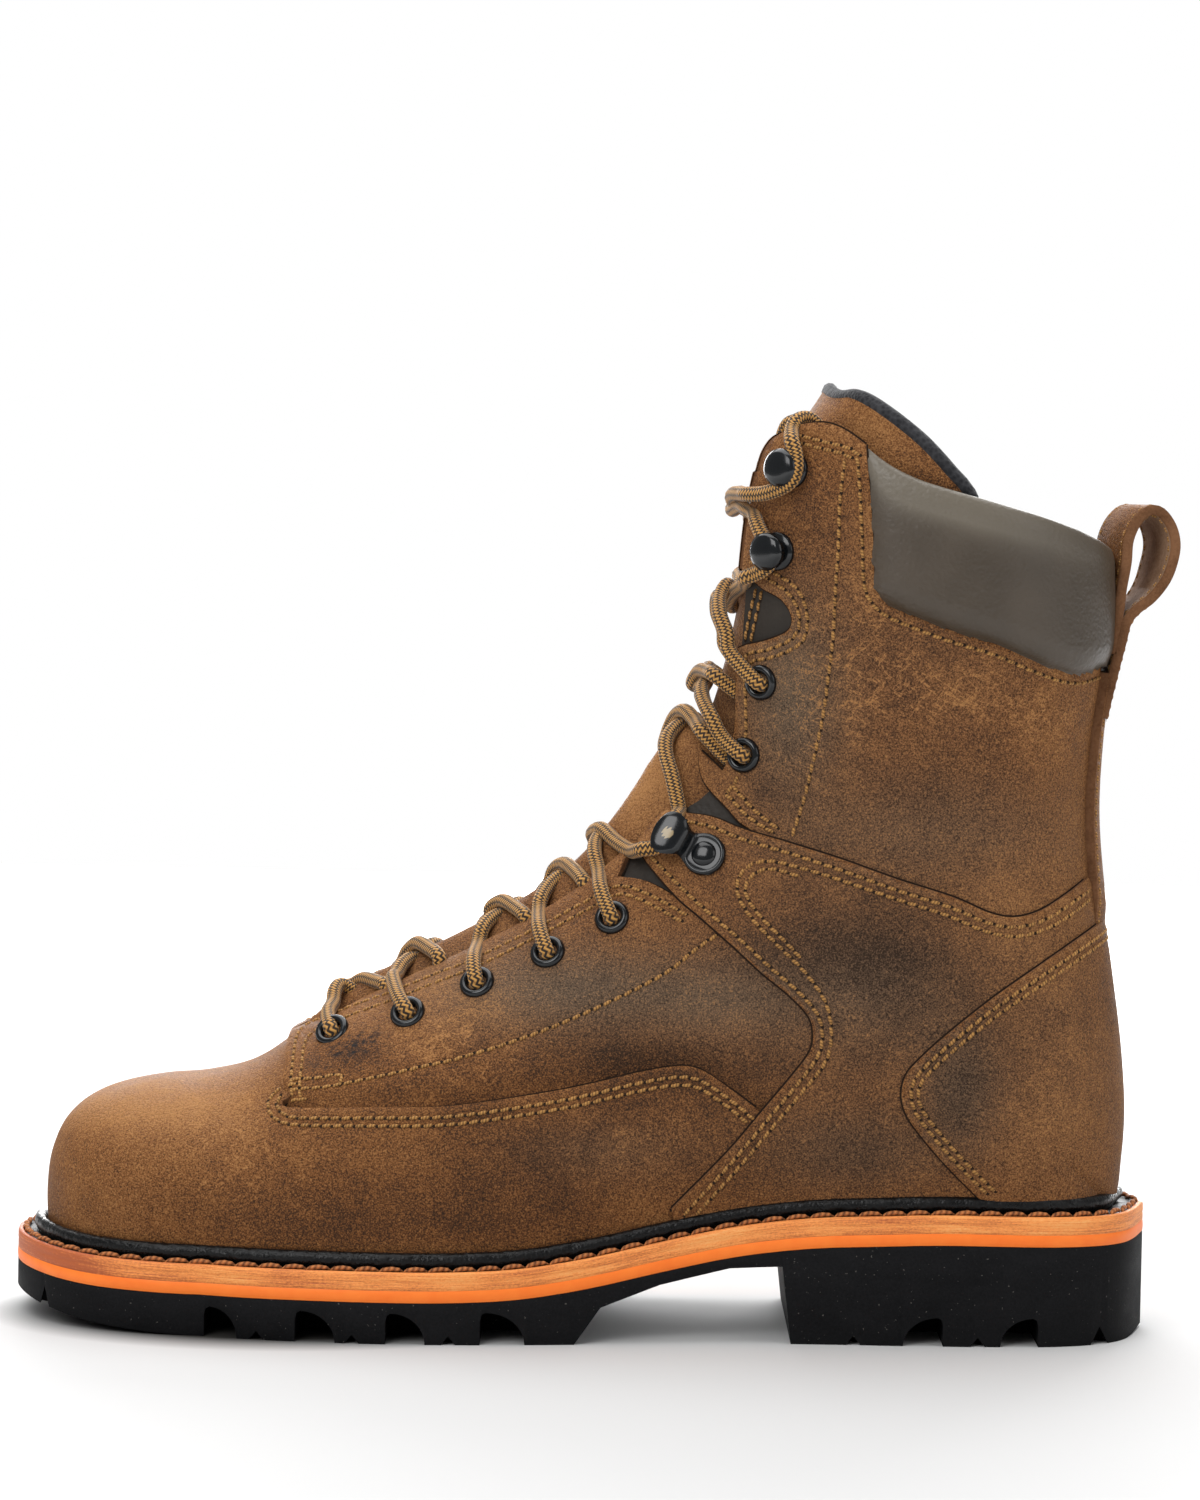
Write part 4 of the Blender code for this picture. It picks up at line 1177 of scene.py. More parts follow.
class LeatherTone:
    """Where the leather is darker or lighter, as placed on the photograph."""

    MARKS = (
        Mark(150, 1095, 130, 60, 0.16), Mark(85, 1190, 50, 60, 0.05), Mark(420, 1215, 170, 40, -0.16),
        Mark(560, 1150, 120, 60, -0.1), Mark(355, 1055, 30, 18, -0.3), Mark(315, 1070, 16, 18, -0.1),
        Mark(700, 1075, 90, 30, -0.18), Mark(620, 1060, 120, 22, -0.14), Mark(800, 950, 90, 50, -0.2),
        Mark(900, 960, 70, 50, -0.22), Mark(760, 920, 40, 40, 0.02), Mark(760, 1160, 80, 50, -0.1),
        Mark(1080, 1080, 50, 110, 0.1), Mark(980, 1080, 50, 60, -0.14), Mark(1020, 1020, 60, 50, -0.06),
        Mark(920, 800, 150, 60, -0.1), Mark(800, 760, 60, 80, -0.12), Mark(1070, 780, 40, 110, 0.08),
        Mark(860, 640, 50, 60, -0.08), Mark(800, 520, 40, 60, 0.02), Mark(1000, 720, 90, 40, -0.02),
        Mark(520, 1000, 80, 40, 0.05), Mark(450, 1030, 70, 30, 0.06), Mark(650, 780, 45, 70, 0.3),
        Mark(815, 530, 30, 70, -0.2), Mark(850, 1150, 70, 40, -0.18), Mark(960, 1090, 30, 50, -0.14),
        Mark(880, 430, 90, 40, 0.22), Mark(150, 1110, 110, 22, 0.12), Mark(730, 1000, 40, 30, 0.1),
    )
    HAZE = (
        Mark(560, 990, 130, 45, 0.8), Mark(790, 700, 50, 90, 0.8), Mark(860, 990, 100, 70, 0.45),
        Mark(960, 1090, 40, 60, 0.5), Mark(900, 960, 300, 200, 0.22), Mark(900, 620, 230, 150, 0.2),
        Mark(1060, 1080, 70, 130, 0.15), Mark(720, 1000, 80, 40, 0.45), Mark(850, 1150, 90, 40, 0.4),
        Mark(920, 830, 150, 50, 0.35), Mark(600, 1150, 90, 30, 0.3),
    )
    FLECKS = (
        Mark(345, 1050, 26, 15, 0.95), Mark(372, 1042, 20, 13, 0.8), Mark(322, 1073, 14, 9, 0.7),
        Mark(690, 1075, 60, 14, 0.3),
    )

    WEAR = (
        Mark(450, 1040, 60, 45, 1.0), Mark(860, 640, 70, 80, 0.9), Mark(950, 690, 80, 40, 0.8),
        Mark(800, 480, 40, 60, 0.6), Mark(1050, 720, 50, 40, 0.6), Mark(880, 1010, 60, 60, 0.5),
        Mark(800, 740, 60, 60, 0.5), Mark(230, 1150, 90, 60, 0.5), Mark(640, 1140, 80, 40, 0.5),
        Mark(1020, 1090, 60, 60, 0.5),
    )

    def __init__(self, view: PhotoView) -> None:
        """Keep the photograph's camera."""
        self.view = view

    def attributes(self, points: Array) -> dict[str, Array]:
        """Every number that the leather's finish reads, at points of the outer side."""
        lists = {"tone": self.MARKS, "wear": self.WEAR, "haze": self.HAZE, "fleck": self.FLECKS}
        return {name: self.total(points, marks) for name, marks in lists.items()}

    def total(self, points: Array, marks: Sequence[Mark]) -> Array:
        """Sum of soft patches at points of the outer side.

        Args:
            points: Points in millimetres.
            marks: The patches.

        Returns:
            A number for each point.
        """
        pixels = self.view.pixels(points)
        tone = np.zeros(len(points))
        for mark in marks:
            across = (pixels[:, 0] - mark.across) / mark.wide
            down = (pixels[:, 1] - mark.down) / mark.high
            tone += mark.tone * np.exp(-across ** 2 - down ** 2)
        return tone


@dataclass
class Panel:
    """One cut piece of leather on the upper, drawn on the outer side and mirrored to the inner side."""

    name: str
    outline: Array
    height: Callable[[Array, Array], Array]
    thickness: float = 2.4
    spacing: float = 1.4
    # step and seam: depth and width of the dark strip of painted shadow at the foot of each cut edge.
    step: float = 0.8
    seam: float = 0.5
    edge_dip: float = 0.45
    edge_reach: float = 0.9
    # Lightening along the cut rim: partly rubbed wear, partly a painted highlight on the lit edge.
    rim_wear_and_highlight: float = 0.14
    groove: float = 0.32
    groove_reach: float = 1.1
    sewn: Optional[Array] = None

    def lift(self, last: Last, places: Array) -> Array:
        """Height of the panel's face over the last at sections and fractions.

        Args:
            last: The surface that it lies on.
            places: Sections and fractions.

        Returns:
            Heights in millimetres.
        """
        points = last.solid_line(places)
        height = self.height(places, points)
        if self.sewn is not None:
            height = height - self.groove * np.exp(-(near(points, self.sewn) / self.groove_reach) ** 2)
        return height

    def build(self, last: Last, tone: LeatherTone, finish: Finish = LEATHER) -> Piece:
        """Make the panel with its cut edge and a strip of painted shadow at the foot of that edge.

        Args:
            last: The surface that it lies on.
            tone: Where the leather is darker or lighter.
            finish: Finish of its face.

        Returns:
            The panel.
        """
        places, triangles = flat_fill(self.outline, self.spacing)
        s, t = places[:, 0], places[:, 1]
        seam = (t > 1.0 - 1e-5) | ((t < 1e-5) & (s >= Last.HEEL - 1e-5))
        count = len(places)
        base = last.solid_line(places)
        twin = np.where(seam, np.arange(count), np.arange(count) + count)
        faces = [tuple(f) for f in triangles] + [tuple(twin[list(f)][::-1]) for f in triangles]
        uses: dict[tuple, tuple] = {}
        for face in faces:
            for a, b in zip(face, face[1:] + face[:1]):
                key = (min(a, b), max(a, b))
                uses[key] = None if key in uses else (a, b)
        rim = [edge for edge in uses.values() if edge is not None]
        rim_points = base[sorted({a % count for edge in rim for a in edge})]
        height = self.lift(last, places)
        height = height - self.edge_dip * np.exp(-near(base, rim_points) / self.edge_reach)
        sides = [last.lifted(s, t, side, height) for side in Side]
        low = [last.lifted(s, t, side, height - self.thickness) for side in Side]
        points, under = np.vstack(sides), np.vstack(low)
        draft = Draft()
        numbers = tone.attributes(base)
        # Lighter along the rim: rubbed wear with a painted highlight on the edge.
        numbers["tone"] = numbers["tone"] + self.rim_wear_and_highlight * np.exp(-near(base, rim_points) / self.edge_reach)
        draft.add(points, faces, 0, **{name: np.tile(v, 2) for name, v in numbers.items()})
        normals = np.vstack([last.normal(s, t, side) for side in Side])
        # Each rim edge gets its cut wall and, at its foot, a thin dark strip of painted shadow in the seam.
        for a, b in rim:
            draft.add(np.array([points[b], points[a], under[a], under[b]]), [(0, 1, 2, 3)], 1)
            out = np.cross(points[b] - points[a], normals[a])
            out *= self.seam / max(np.linalg.norm(out), 1e-6)
            foot = [points[i] - normals[i] * self.step for i in (a, b)]
            draft.add(np.array([foot[0], foot[0] + out, foot[1] + out, foot[1]]), [(0, 1, 2, 3)], 2)
        return draft.build(self.name, (finish, CUT_EDGE, HOLE_SHADE), weld=0.004, sharp=50.0)


class PanelLines:
    """Edges of the panels, as pixels of the photograph."""

    VAMP_TOP = (
        (282, 1101), (292, 1107), (380, 1107), (445, 1106), (510, 1098), (575, 1087), (640, 1072),
        (679, 1066), (699, 1069), (718, 1080), (757, 1109),
    )
    VAMP_TAIL = ((790, 1150), (770, 1205))
    VAMP_PLUG = ((306, 1060), (299, 1090))
    QUARTER_FRONT = ((283, 1103), (288, 1067), (291, 1045), (297, 1030))
    QUARTER_BACK = ((617, 876), (649, 882), (696, 909), (740, 935))
    QUARTER_UNDER = (
        (830, 1010), (820, 1060), (770, 1125), (700, 1085), (640, 1090), (510, 1116), (380, 1124),
        (300, 1122),
    )
    WING_ROUND = ((757, 1300), (100, 1300), (100, 1101))
    SADDLE_TOP = (
        (640, 844), (652, 824), (668, 811), (688, 814), (714, 818), (745, 830), (793, 844), (841, 859),
        (897, 879), (953, 897), (990, 913), (1015, 917), (1040, 910), (1065, 894), (1085, 878),
    )
    SADDLE_FRONT = (
        (640, 844), (647, 862), (677, 897), (700, 917), (734, 947), (762, 973), (790, 996), (809, 1017),
        (813, 1036), (809, 1053), (790, 1078), (762, 1111), (727, 1152), (671, 1208),
    )
    SHAFT_FOOT = ((701, 746), (698, 759), (701, 776), (709, 789), (726, 807), (742, 824), (771, 840))
    SHAFT_UNDER = ((1085, 905), (1015, 940), (953, 922), (841, 882), (790, 862))
    SHAFT_CORNER = ((759, 470), (766, 449), (778, 434), (795, 428))
    NOTCH = ((749, 577), (761, 588), (781, 600), (791, 617), (787, 631), (767, 640), (745, 645))
    PAD_EDGE = (
        (866, 440), (866, 452), (870, 493), (873, 540), (875, 583), (883, 600), (897, 609), (950, 630),
        (998, 645), (1036, 661), (1065, 672), (1081, 673), (1109, 663),
    )
    COUNTER = (
        (1107, 914), (1083, 931), (1039, 963), (994, 996), (949, 1032), (922, 1056), (906, 1074),
        (901, 1094), (906, 1114), (920, 1134), (945, 1163), (978, 1196),
    )


@dataclass
class Upper:
    """Lining shell and the leather panels sewn over it."""

    last: Last
    tone: LeatherTone
    shell_outside: float = -2.2
    shell_inside: float = -3.4
    shell_top: float = 30.2
    shell_front: float = 0.83
    shell_front_spread: float = 0.06
    vamp_level: float = 0.3
    shaft_level: float = 0.2
    saddle_level: float = 1.6
    counter_level: float = 3.0
    saddle_back: float = 0.5
    counter_back: float = 1.7
    back_width: float = 26.0
    quarter_level: float = 0.3
    wing_dip: float = 2.1
    wing_reach: float = 4.5
    front_rise: float = 2.0
    front_reach: float = 8.0
    front_fade: float = 5.0
    panels: dict = field(default_factory=dict)

    CREASES = (
        Crease(((735, 700), (790, 706), (850, 700), (900, 690)), -0.25, 3.0),
        Crease(((760, 800), (830, 806), (900, 818), (980, 850)), -0.45, 6.0),
        Crease(((820, 770), (900, 785), (1000, 800), (1070, 812)), 0.35, 6.0),
        Crease(((640, 1000), (700, 1010), (760, 1020)), -0.25, 5.0),
        Crease(((410, 1035), (450, 1060), (480, 1090)), -0.35, 3.2),
        Crease(((440, 1015), (490, 1045), (520, 1080)), -0.3, 3.0),
        Crease(((395, 1050), (425, 1075), (440, 1098)), 0.25, 3.0),
        Crease(((800, 900), (860, 930), (930, 950)), -0.25, 6.0),
        Crease(((845, 990), (870, 1060), (860, 1130)), -0.3, 7.0),
    )

    def build(self) -> None:
        """Make the shell and every panel."""
        self.build_shell()
        made = (self.vamp(), self.quarter(), self.shaft(), self.saddle(), self.counter())
        self.panels = {panel.name: panel for panel in made}
        for panel in self.panels.values():
            rows = [self.last.solid_line(p) for row in Stitching.ROWS if row.panel == panel.name
                    for p in row.places(self.last)]
            panel.sewn = np.vstack(rows)
            piece = panel.build(self.last, self.tone)
            if panel.name == "counter_panel":
                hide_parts("heel_counter")

    def build_shell(self) -> None:
        """Make the inner shell: dark leather outside, lining cloth inside."""
        last = self.last
        s = np.unique(np.concatenate([np.linspace(0.0, 9.0, 60), np.linspace(9.0, Last.COLLAR, 150)]))
        girth = 0.5 - 0.5 * np.cos(np.linspace(0.0, math.pi, 33))
        corner = last.traced(PanelLines.SHAFT_CORNER, 3.0)
        limit = np.where(s < corner[0, 0], 1.0, np.interp(s, corner[:, 0], corner[:, 1]))
        draft = Draft()
        for side in Side:
            t = np.minimum(last.throat(s, side), limit)[:, None] * girth[None, :]
            front = soft_step((t - self.shell_front) / self.shell_front_spread)
            rows = np.minimum(s[:, None], self.shell_top + (Last.COLLAR - self.shell_top) * front)
            outside = last.lifted(rows, t, side, self.shell_outside)
            within = last.lifted(rows, t, side, self.shell_inside)
            flip = side is Side.INNER
            draft.grid(outside, 0, flip=flip, tone=np.zeros(t.shape))
            draft.grid(within, 1, flip=not flip)
            for a, b in ((outside[:, -1], within[:, -1]), (within[:, 0], outside[:, 0]),
                         (within[-1], outside[-1]), (outside[0], within[0])):
                draft.grid(np.stack([a, b], axis=1), 0, flip=not flip)
        shell = draft.build("upper_lining_shell", (GUSSET_LEATHER, LINING), weld=0.02)
        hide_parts("upper")

    def relief(self, points: Array) -> Array:
        """Depth of the listed creases at points of the outer side.

        Args:
            points: Points in millimetres.

        Returns:
            Heights in millimetres.
        """
        depth = np.zeros(len(points))
        for crease in self.CREASES:
            line = self.last.solid_line(self.last.traced(crease.line))
            ends = np.minimum(near(points, line[:1]), near(points, line[-1:]))
            fade = soft_step(ends / (3.0 * crease.half_width))
            depth += crease.depth * fade * np.exp(-(near(points, line) / crease.half_width) ** 2)
        return depth

    def level(self, height: float) -> Callable[[Array, Array], Array]:
        """Height function of a panel that lies at one level."""
        return lambda places, points: np.full(len(places), height) + self.relief(points)

    def rounding(self, height: float, back: float) -> Callable[[Array, Array], Array]:
        """Height function of a panel that lies lower round the back seam."""
        return lambda places, points: (
            back + (height - back) * soft_step(np.abs(points[:, 1]) / self.back_width) + self.relief(points))

    @staticmethod
    def straight(start: Sequence[float], end: Sequence[float], count: int) -> Array:
        """Sections and fractions along a straight run, without its end."""
        return np.linspace(start, end, count, endpoint=False)

    def throat_run(self, first: float, end: float, count: int) -> Array:
        """Sections and fractions along the edge of the lace facing."""
        s = np.linspace(first, end, count)
        return np.stack([s, self.last.throat(s, Side.OUTER)], axis=1)

    def vamp(self) -> Panel:
        """Toe and lower front, with a long wing along the sole.

        Returns:
            The panel.
        """
        top = self.last.traced(PanelLines.VAMP_TOP)
        tail = self.last.from_photo(np.array(PanelLines.VAMP_TAIL))
        plug = self.last.from_photo(np.array(PanelLines.VAMP_PLUG))
        end = np.array([tail[-1, 0], 0.0])
        outline = np.vstack([
            self.straight((0.0, 0.0), (0.0, 1.0), 56),
            self.straight((0.0, 1.0), (9.4, 1.0), 60),
            self.straight((9.4, 1.0), plug[0], 16),
            plug, top, tail,
            self.straight(end, (0.0, 0.0), 110),
        ])
        return Panel("vamp_panel", outline, self.level(self.vamp_level), step=1.6)

    def quarter(self) -> Panel:
        """Lace quarter: over the vamp at its front edge and under the vamp's wing below.

        Returns:
            The panel.
        """
        last = self.last
        front = last.traced(PanelLines.QUARTER_FRONT)
        back = last.traced(PanelLines.QUARTER_BACK)
        under = last.traced(PanelLines.QUARTER_UNDER, 6.0)
        outline = np.vstack([front, self.throat_run(9.62, 15.25, 70), back, under])
        front_line = last.solid_line(front)
        wing = last.solid_line(last.traced(PanelLines.VAMP_TOP))
        polygon = np.array(PanelLines.VAMP_TOP + PanelLines.WING_ROUND, float)

        def height(places: Array, points: Array) -> Array:
            """Height of the quarter: low under the wing and raised over the vamp.

            Args:
                places: Sections and fractions.
                points: Points there.

            Returns:
                Heights in millimetres.
            """
            under_wing = inside(last.view.pixels(points), polygon)
            gap = np.where(under_wing, 0.0, near(points, wing))
            rise = self.front_rise * np.exp(-(near(points, front_line) / self.front_reach) ** 2)
            dip = self.wing_dip * np.exp(-(gap / self.wing_reach) ** 2)
            over_vamp = rise * soft_step(gap / self.front_fade)
            return self.quarter_level - dip + over_vamp + self.relief(points)

        return Panel("quarter_panel", outline, height, step=1.5)

    def shaft(self) -> Panel:
        """Shaft from the ankle to the collar, with its notch and the bay for the collar pad.

        Returns:
            The panel.
        """
        last = self.last
        notch = last.traced(PanelLines.NOTCH, 3.0)
        foot = last.traced(PanelLines.SHAFT_FOOT)
        pad = last.traced(PanelLines.PAD_EDGE)
        pad[0] = (Last.COLLAR, pad[0, 1])
        pad[-1, 1] = 0.0
        under = last.traced(PanelLines.SHAFT_UNDER, 6.0)
        tail = np.array([under[0, 0], 0.0])
        corner = last.traced(PanelLines.SHAFT_CORNER, 3.0)
        outline = np.vstack([
            self.throat_run(foot[0, 0], notch[-1, 0], 20)[:-1],
            notch[::-1],
            self.throat_run(notch[0, 0], corner[0, 0], 60)[1:-1],
            corner,
            self.straight((Last.COLLAR, corner[-1, 1] - 0.01), pad[0], 24),
            pad,
            self.straight((pad[-1, 0], 0.0), tail, 50)[1:],
            tail[None, :], under, foot[::-1][:-1],
        ])
        return Panel("shaft_panel", outline, self.level(self.shaft_level), step=0.55)

    def saddle(self) -> Panel:
        """Ankle saddle: its nose carries the ankle hook and its body runs round the heel.

        Returns:
            The panel.
        """
        last = self.last
        top = last.traced(PanelLines.SADDLE_TOP)
        front = last.traced(PanelLines.SADDLE_FRONT)
        back = np.array([top[-1, 0] - 0.05, 0.0])
        foot = np.array([front[-1, 0], 0.0])
        outline = np.vstack([
            top,
            self.straight(top[-1], back, 14)[1:],
            self.straight(back, (Last.HEEL, 0.0), 40),
            self.straight((Last.HEEL, 0.0), foot, 90),
            foot[None, :], front[::-1][:-1],
        ])
        return Panel("saddle_panel", outline, self.rounding(self.saddle_level, self.saddle_back))

    def counter(self) -> Panel:
        """Heel counter over the saddle's back end.

        Returns:
            The panel.
        """
        edge = self.last.traced(PanelLines.COUNTER)
        back = np.array([edge[0, 0] - 0.06, 0.0])
        foot = np.array([edge[-1, 0], 0.0])
        outline = np.vstack([
            edge, foot[None, :],
            self.straight(foot, (Last.HEEL, 0.0), 60)[1:],
            self.straight((Last.HEEL, 0.0), back, 40),
            self.straight(back, edge[0], 14),
        ])
        return Panel("counter_panel", outline[::-1], self.rounding(self.counter_level, self.counter_back))


# Stitching

@dataclass(frozen=True)
class Row:
    """One row of stitches along pixels of the photograph, moved sideways by each of its offsets."""

    panel: str
    line: Pixels
    offsets: tuple[float, ...] = (0.0,)
    margin: float = 2.2
    least_margin: float = 2.0
    pixel: float = 0.28
    throat_start: float = 9.4

    def places(self, last: Last) -> list[Array]:
        """Sections and fractions along each of its lines, kept off the edge of the lace facing.

        Args:
            last: The surface that it lies on.

        Returns:
            One array for each line.
        """
        line = smooth_curve(self.line, 2.0)
        found = []
        for offset in self.offsets:
            places = last.from_photo(offset_line(line, offset) if offset else line)
            margin = self.margin
            if len(self.offsets) > 1:
                margin = max(self.pixel * abs(offset), self.least_margin)
            s, t = places[:, 0], places[:, 1]
            edge = last.at_width(s, Side.OUTER, lookup(Last.THROAT, s) + margin)
            places[:, 1] = np.where(s > self.throat_start, np.minimum(t, edge), t)
            found.append(places)
        return found


@dataclass
class Stitching:
    """Sewn rows of the upper: raised thread between needle holes painted dark as shade."""

    last: Last
    pitch: float = 3.1
    length: float = 2.75
    radius: float = 0.47
    sink: float = 0.05
    slant: float = 0.14
    hole: float = 0.50
    hole_stretch: float = 1.15
    hole_lift: float = 0.10
    sides: int = 6
    draft: Draft = field(default_factory=Draft)
    holes: Draft = field(default_factory=Draft)

    ROWS = (
        Row("quarter_panel", ((284, 1096), (288, 1067), (291, 1045), (297, 1030), (314, 1015), (346, 1000),
            (390, 984), (429, 968), (470, 952), (531, 922), (585, 893), (617, 878), (649, 886), (690, 908)),
            (8.0, 16.0)),
        Row("quarter_panel", ((291, 1092), (341, 1084), (409, 1070), (473, 1054), (537, 1033), (601, 1006),
            (664, 974), (696, 949), (722, 932))),
        Row("quarter_panel", ((294, 1083), (318, 1079), (341, 1074), (340, 1083))),
        Row("quarter_panel", ((289, 1088), (303, 1086))),
        Row("quarter_panel", ((289, 1099), (304, 1098))),
        Row("vamp_panel", ((755, 1121), (738, 1106), (716, 1090), (699, 1080), (679, 1077), (640, 1083),
            (575, 1098), (510, 1109), (445, 1117), (380, 1118), (300, 1118), (284, 1114), (277, 1106),
            (279, 1098), (284, 1094))),
        Row("vamp_panel", ((748, 1124), (732, 1110), (714, 1097), (699, 1088), (679, 1085), (640, 1091),
            (575, 1106), (510, 1117), (445, 1125), (380, 1126), (298, 1125), (276, 1119), (268, 1108),
            (271, 1097), (280, 1089))),
        Row("saddle_panel", ((652, 858), (684, 891), (707, 912), (741, 941), (769, 967), (797, 991),
            (817, 1014), (822, 1036), (817, 1057), (797, 1084), (769, 1117), (734, 1158), (682, 1214))),
        Row("saddle_panel", ((676, 820), (688, 823), (712, 828), (743, 840), (791, 854), (839, 869),
            (895, 889), (951, 907), (989, 923), (1016, 927), (1044, 919), (1070, 902), (1086, 890))),
        Row("saddle_panel", ((1086, 899), (1072, 911), (1047, 927), (1016, 936), (986, 931), (948, 915),
            (892, 897), (836, 878), (800, 868), (776, 862), (757, 863), (742, 873), (737, 888), (741, 903),
            (756, 924), (780, 948), (806, 974), (826, 1004), (831, 1036), (825, 1062), (804, 1089),
            (776, 1122), (741, 1163), (692, 1216))),
        Row("saddle_panel", ((800, 877), (777, 870), (760, 871), (749, 880), (745, 890), (749, 902),
            (763, 920), (786, 943), (800, 958))),
        Row("counter_panel", ((1107, 914), (1083, 931), (1039, 963), (994, 996), (949, 1032), (922, 1056),
            (906, 1074), (901, 1094), (906, 1114), (920, 1134), (945, 1163), (982, 1200)), (-9.0, -16.0)),
        Row("shaft_panel", ((845, 459), (840, 499), (838, 551), (835, 594), (833, 637), (827, 686),
            (821, 726), (812, 766), (804, 798), (792, 836))),
        Row("shaft_panel", ((857, 456), (860, 494), (862, 541), (864, 586), (874, 606), (892, 619),
            (946, 640), (994, 655), (1032, 671), (1063, 682), (1083, 683), (1106, 675))),
        Row("shaft_panel", ((786, 436), (800, 436), (824, 442), (848, 448), (860, 456)), (0.0, 7.0)),
        Row("shaft_panel", ((742, 572), (752, 571), (769, 580), (789, 594), (799, 615), (795, 636),
            (770, 649), (746, 654), (738, 668), (727, 702), (712, 740), (707, 757), (710, 772), (717, 784),
            (733, 801), (748, 817), (772, 832))),
        Row("shaft_panel", ((748, 562), (756, 563), (774, 573), (797, 589), (807, 615), (802, 642),
            (773, 657), (752, 661), (746, 671), (735, 704), (720, 742), (715, 757), (718, 768), (725, 779),
            (740, 795), (755, 811), (778, 829))),
    )
    SHAPE = ((-0.5, 0.45), (-0.34, 0.92), (0.0, 1.08), (0.34, 0.92), (0.5, 0.45))
    STRAP_ROWS = (((757, 590), (752, 612), (746, 640)), ((751, 588), (745, 612), (740, 638)))

    def sew(self, points: Array, normals: Array, pitch: float, length: float, radius: float,
            thread: Draft, holes: Optional[Draft]) -> None:
        """Lay stitches along a line of surface points.

        Args:
            points: Dense points along the row.
            normals: Surface normals there.
            pitch: Distance from stitch to stitch.
            length: Length of each stitch.
            radius: Half its thickness.
            thread: Takes the stitches.
            holes: Takes the needle holes, if there are any.
        """
        run = run_along(points)
        sides, end = self.sides, (len(self.SHAPE) - 1) * self.sides
        faces = []
        for first in range(0, end, sides):
            for j in range(sides):
                k, ahead = (j + 1) % sides, first + sides
                faces.append((first + j, first + k, ahead + k, ahead + j))
        faces += [tuple(range(sides))[::-1], tuple(range(end, end + sides))]
        for start in np.arange(pitch * 0.5, run[-1], pitch):
            ends = [np.array([np.interp(start + d, run, points[:, k]) for k in range(3)])
                    for d in (-length / 2, length / 2)]
            normal = np.array([np.interp(start, run, normals[:, k]) for k in range(3)])
            along = ends[1] - ends[0]
            size = np.linalg.norm(along)
            if size < length * 0.5:
                continue
            along /= size
            across = np.cross(normal, along)
            along = along + self.slant * across
            along /= np.linalg.norm(along)
            across = np.cross(normal, along)
            across /= np.linalg.norm(across)
            normal = np.cross(along, across)
            middle = (ends[0] + ends[1]) / 2
            verts, uvs = [], []
            for f, wide in self.SHAPE:
                rise = radius * 0.6 * wide - self.sink - radius * 0.6 * (abs(f) * 2) ** 3
                sunk = middle + along * f * length + normal * rise
                for j in range(sides):
                    a = 2 * math.pi * j / sides
                    verts.append(sunk + radius * wide * (across * math.cos(a) + normal * 0.85 * math.sin(a)))
                    uvs.append((f, j / sides))
            thread.add(np.array(verts), faces, 0, np.array(uvs))
            # Needle hole: a small dark disc of painted shade where the thread dives into the leather.
            if holes is not None:
                edge = middle + along * pitch / 2 + normal * self.hole_lift
                ring = [edge + self.hole * (along * math.cos(a) * self.hole_stretch + across * math.sin(a))
                        for a in np.linspace(0.0, 2 * math.pi, 6, endpoint=False)]
                holes.add(np.array(ring), [tuple(range(6))])

    def surface_row(self, places: Array, lift: Array, side: Side) -> None:
        """Lay one row on the upper at sections, fractions and heights.

        Args:
            places: Sections and fractions.
            lift: Heights over the last.
            side: Which face of the boot.
        """
        points = self.last.lifted(places[:, 0], places[:, 1], side, lift)
        normals = self.last.normal(places[:, 0], places[:, 1], side)
        self.sew(points, normals, self.pitch, self.length, self.radius, self.draft, self.holes)

    def build(self, upper: Upper) -> None:
        """Sew every row on both sides of the boot.

        Args:
            upper: The panels that are sewn.
        """
        for row in self.ROWS:
            panel = upper.panels[row.panel]
            for places in row.places(self.last):
                lift = panel.lift(self.last, places)
                for side in Side:
                    self.surface_row(places, lift, side)
        for line in self.STRAP_ROWS:
            places = self.last.traced(line, 2.0)
            for side in Side:
                self.surface_row(places, upper.shell_outside, side)

    def finish(self) -> None:
        """Make the thread and the needle holes."""
        self.draft.build("upper_stitches", (THREAD,), sharp=80.0)
        self.holes.build("needle_holes", (HOLE_SHADE,))


# Collar, tongue and pull loop

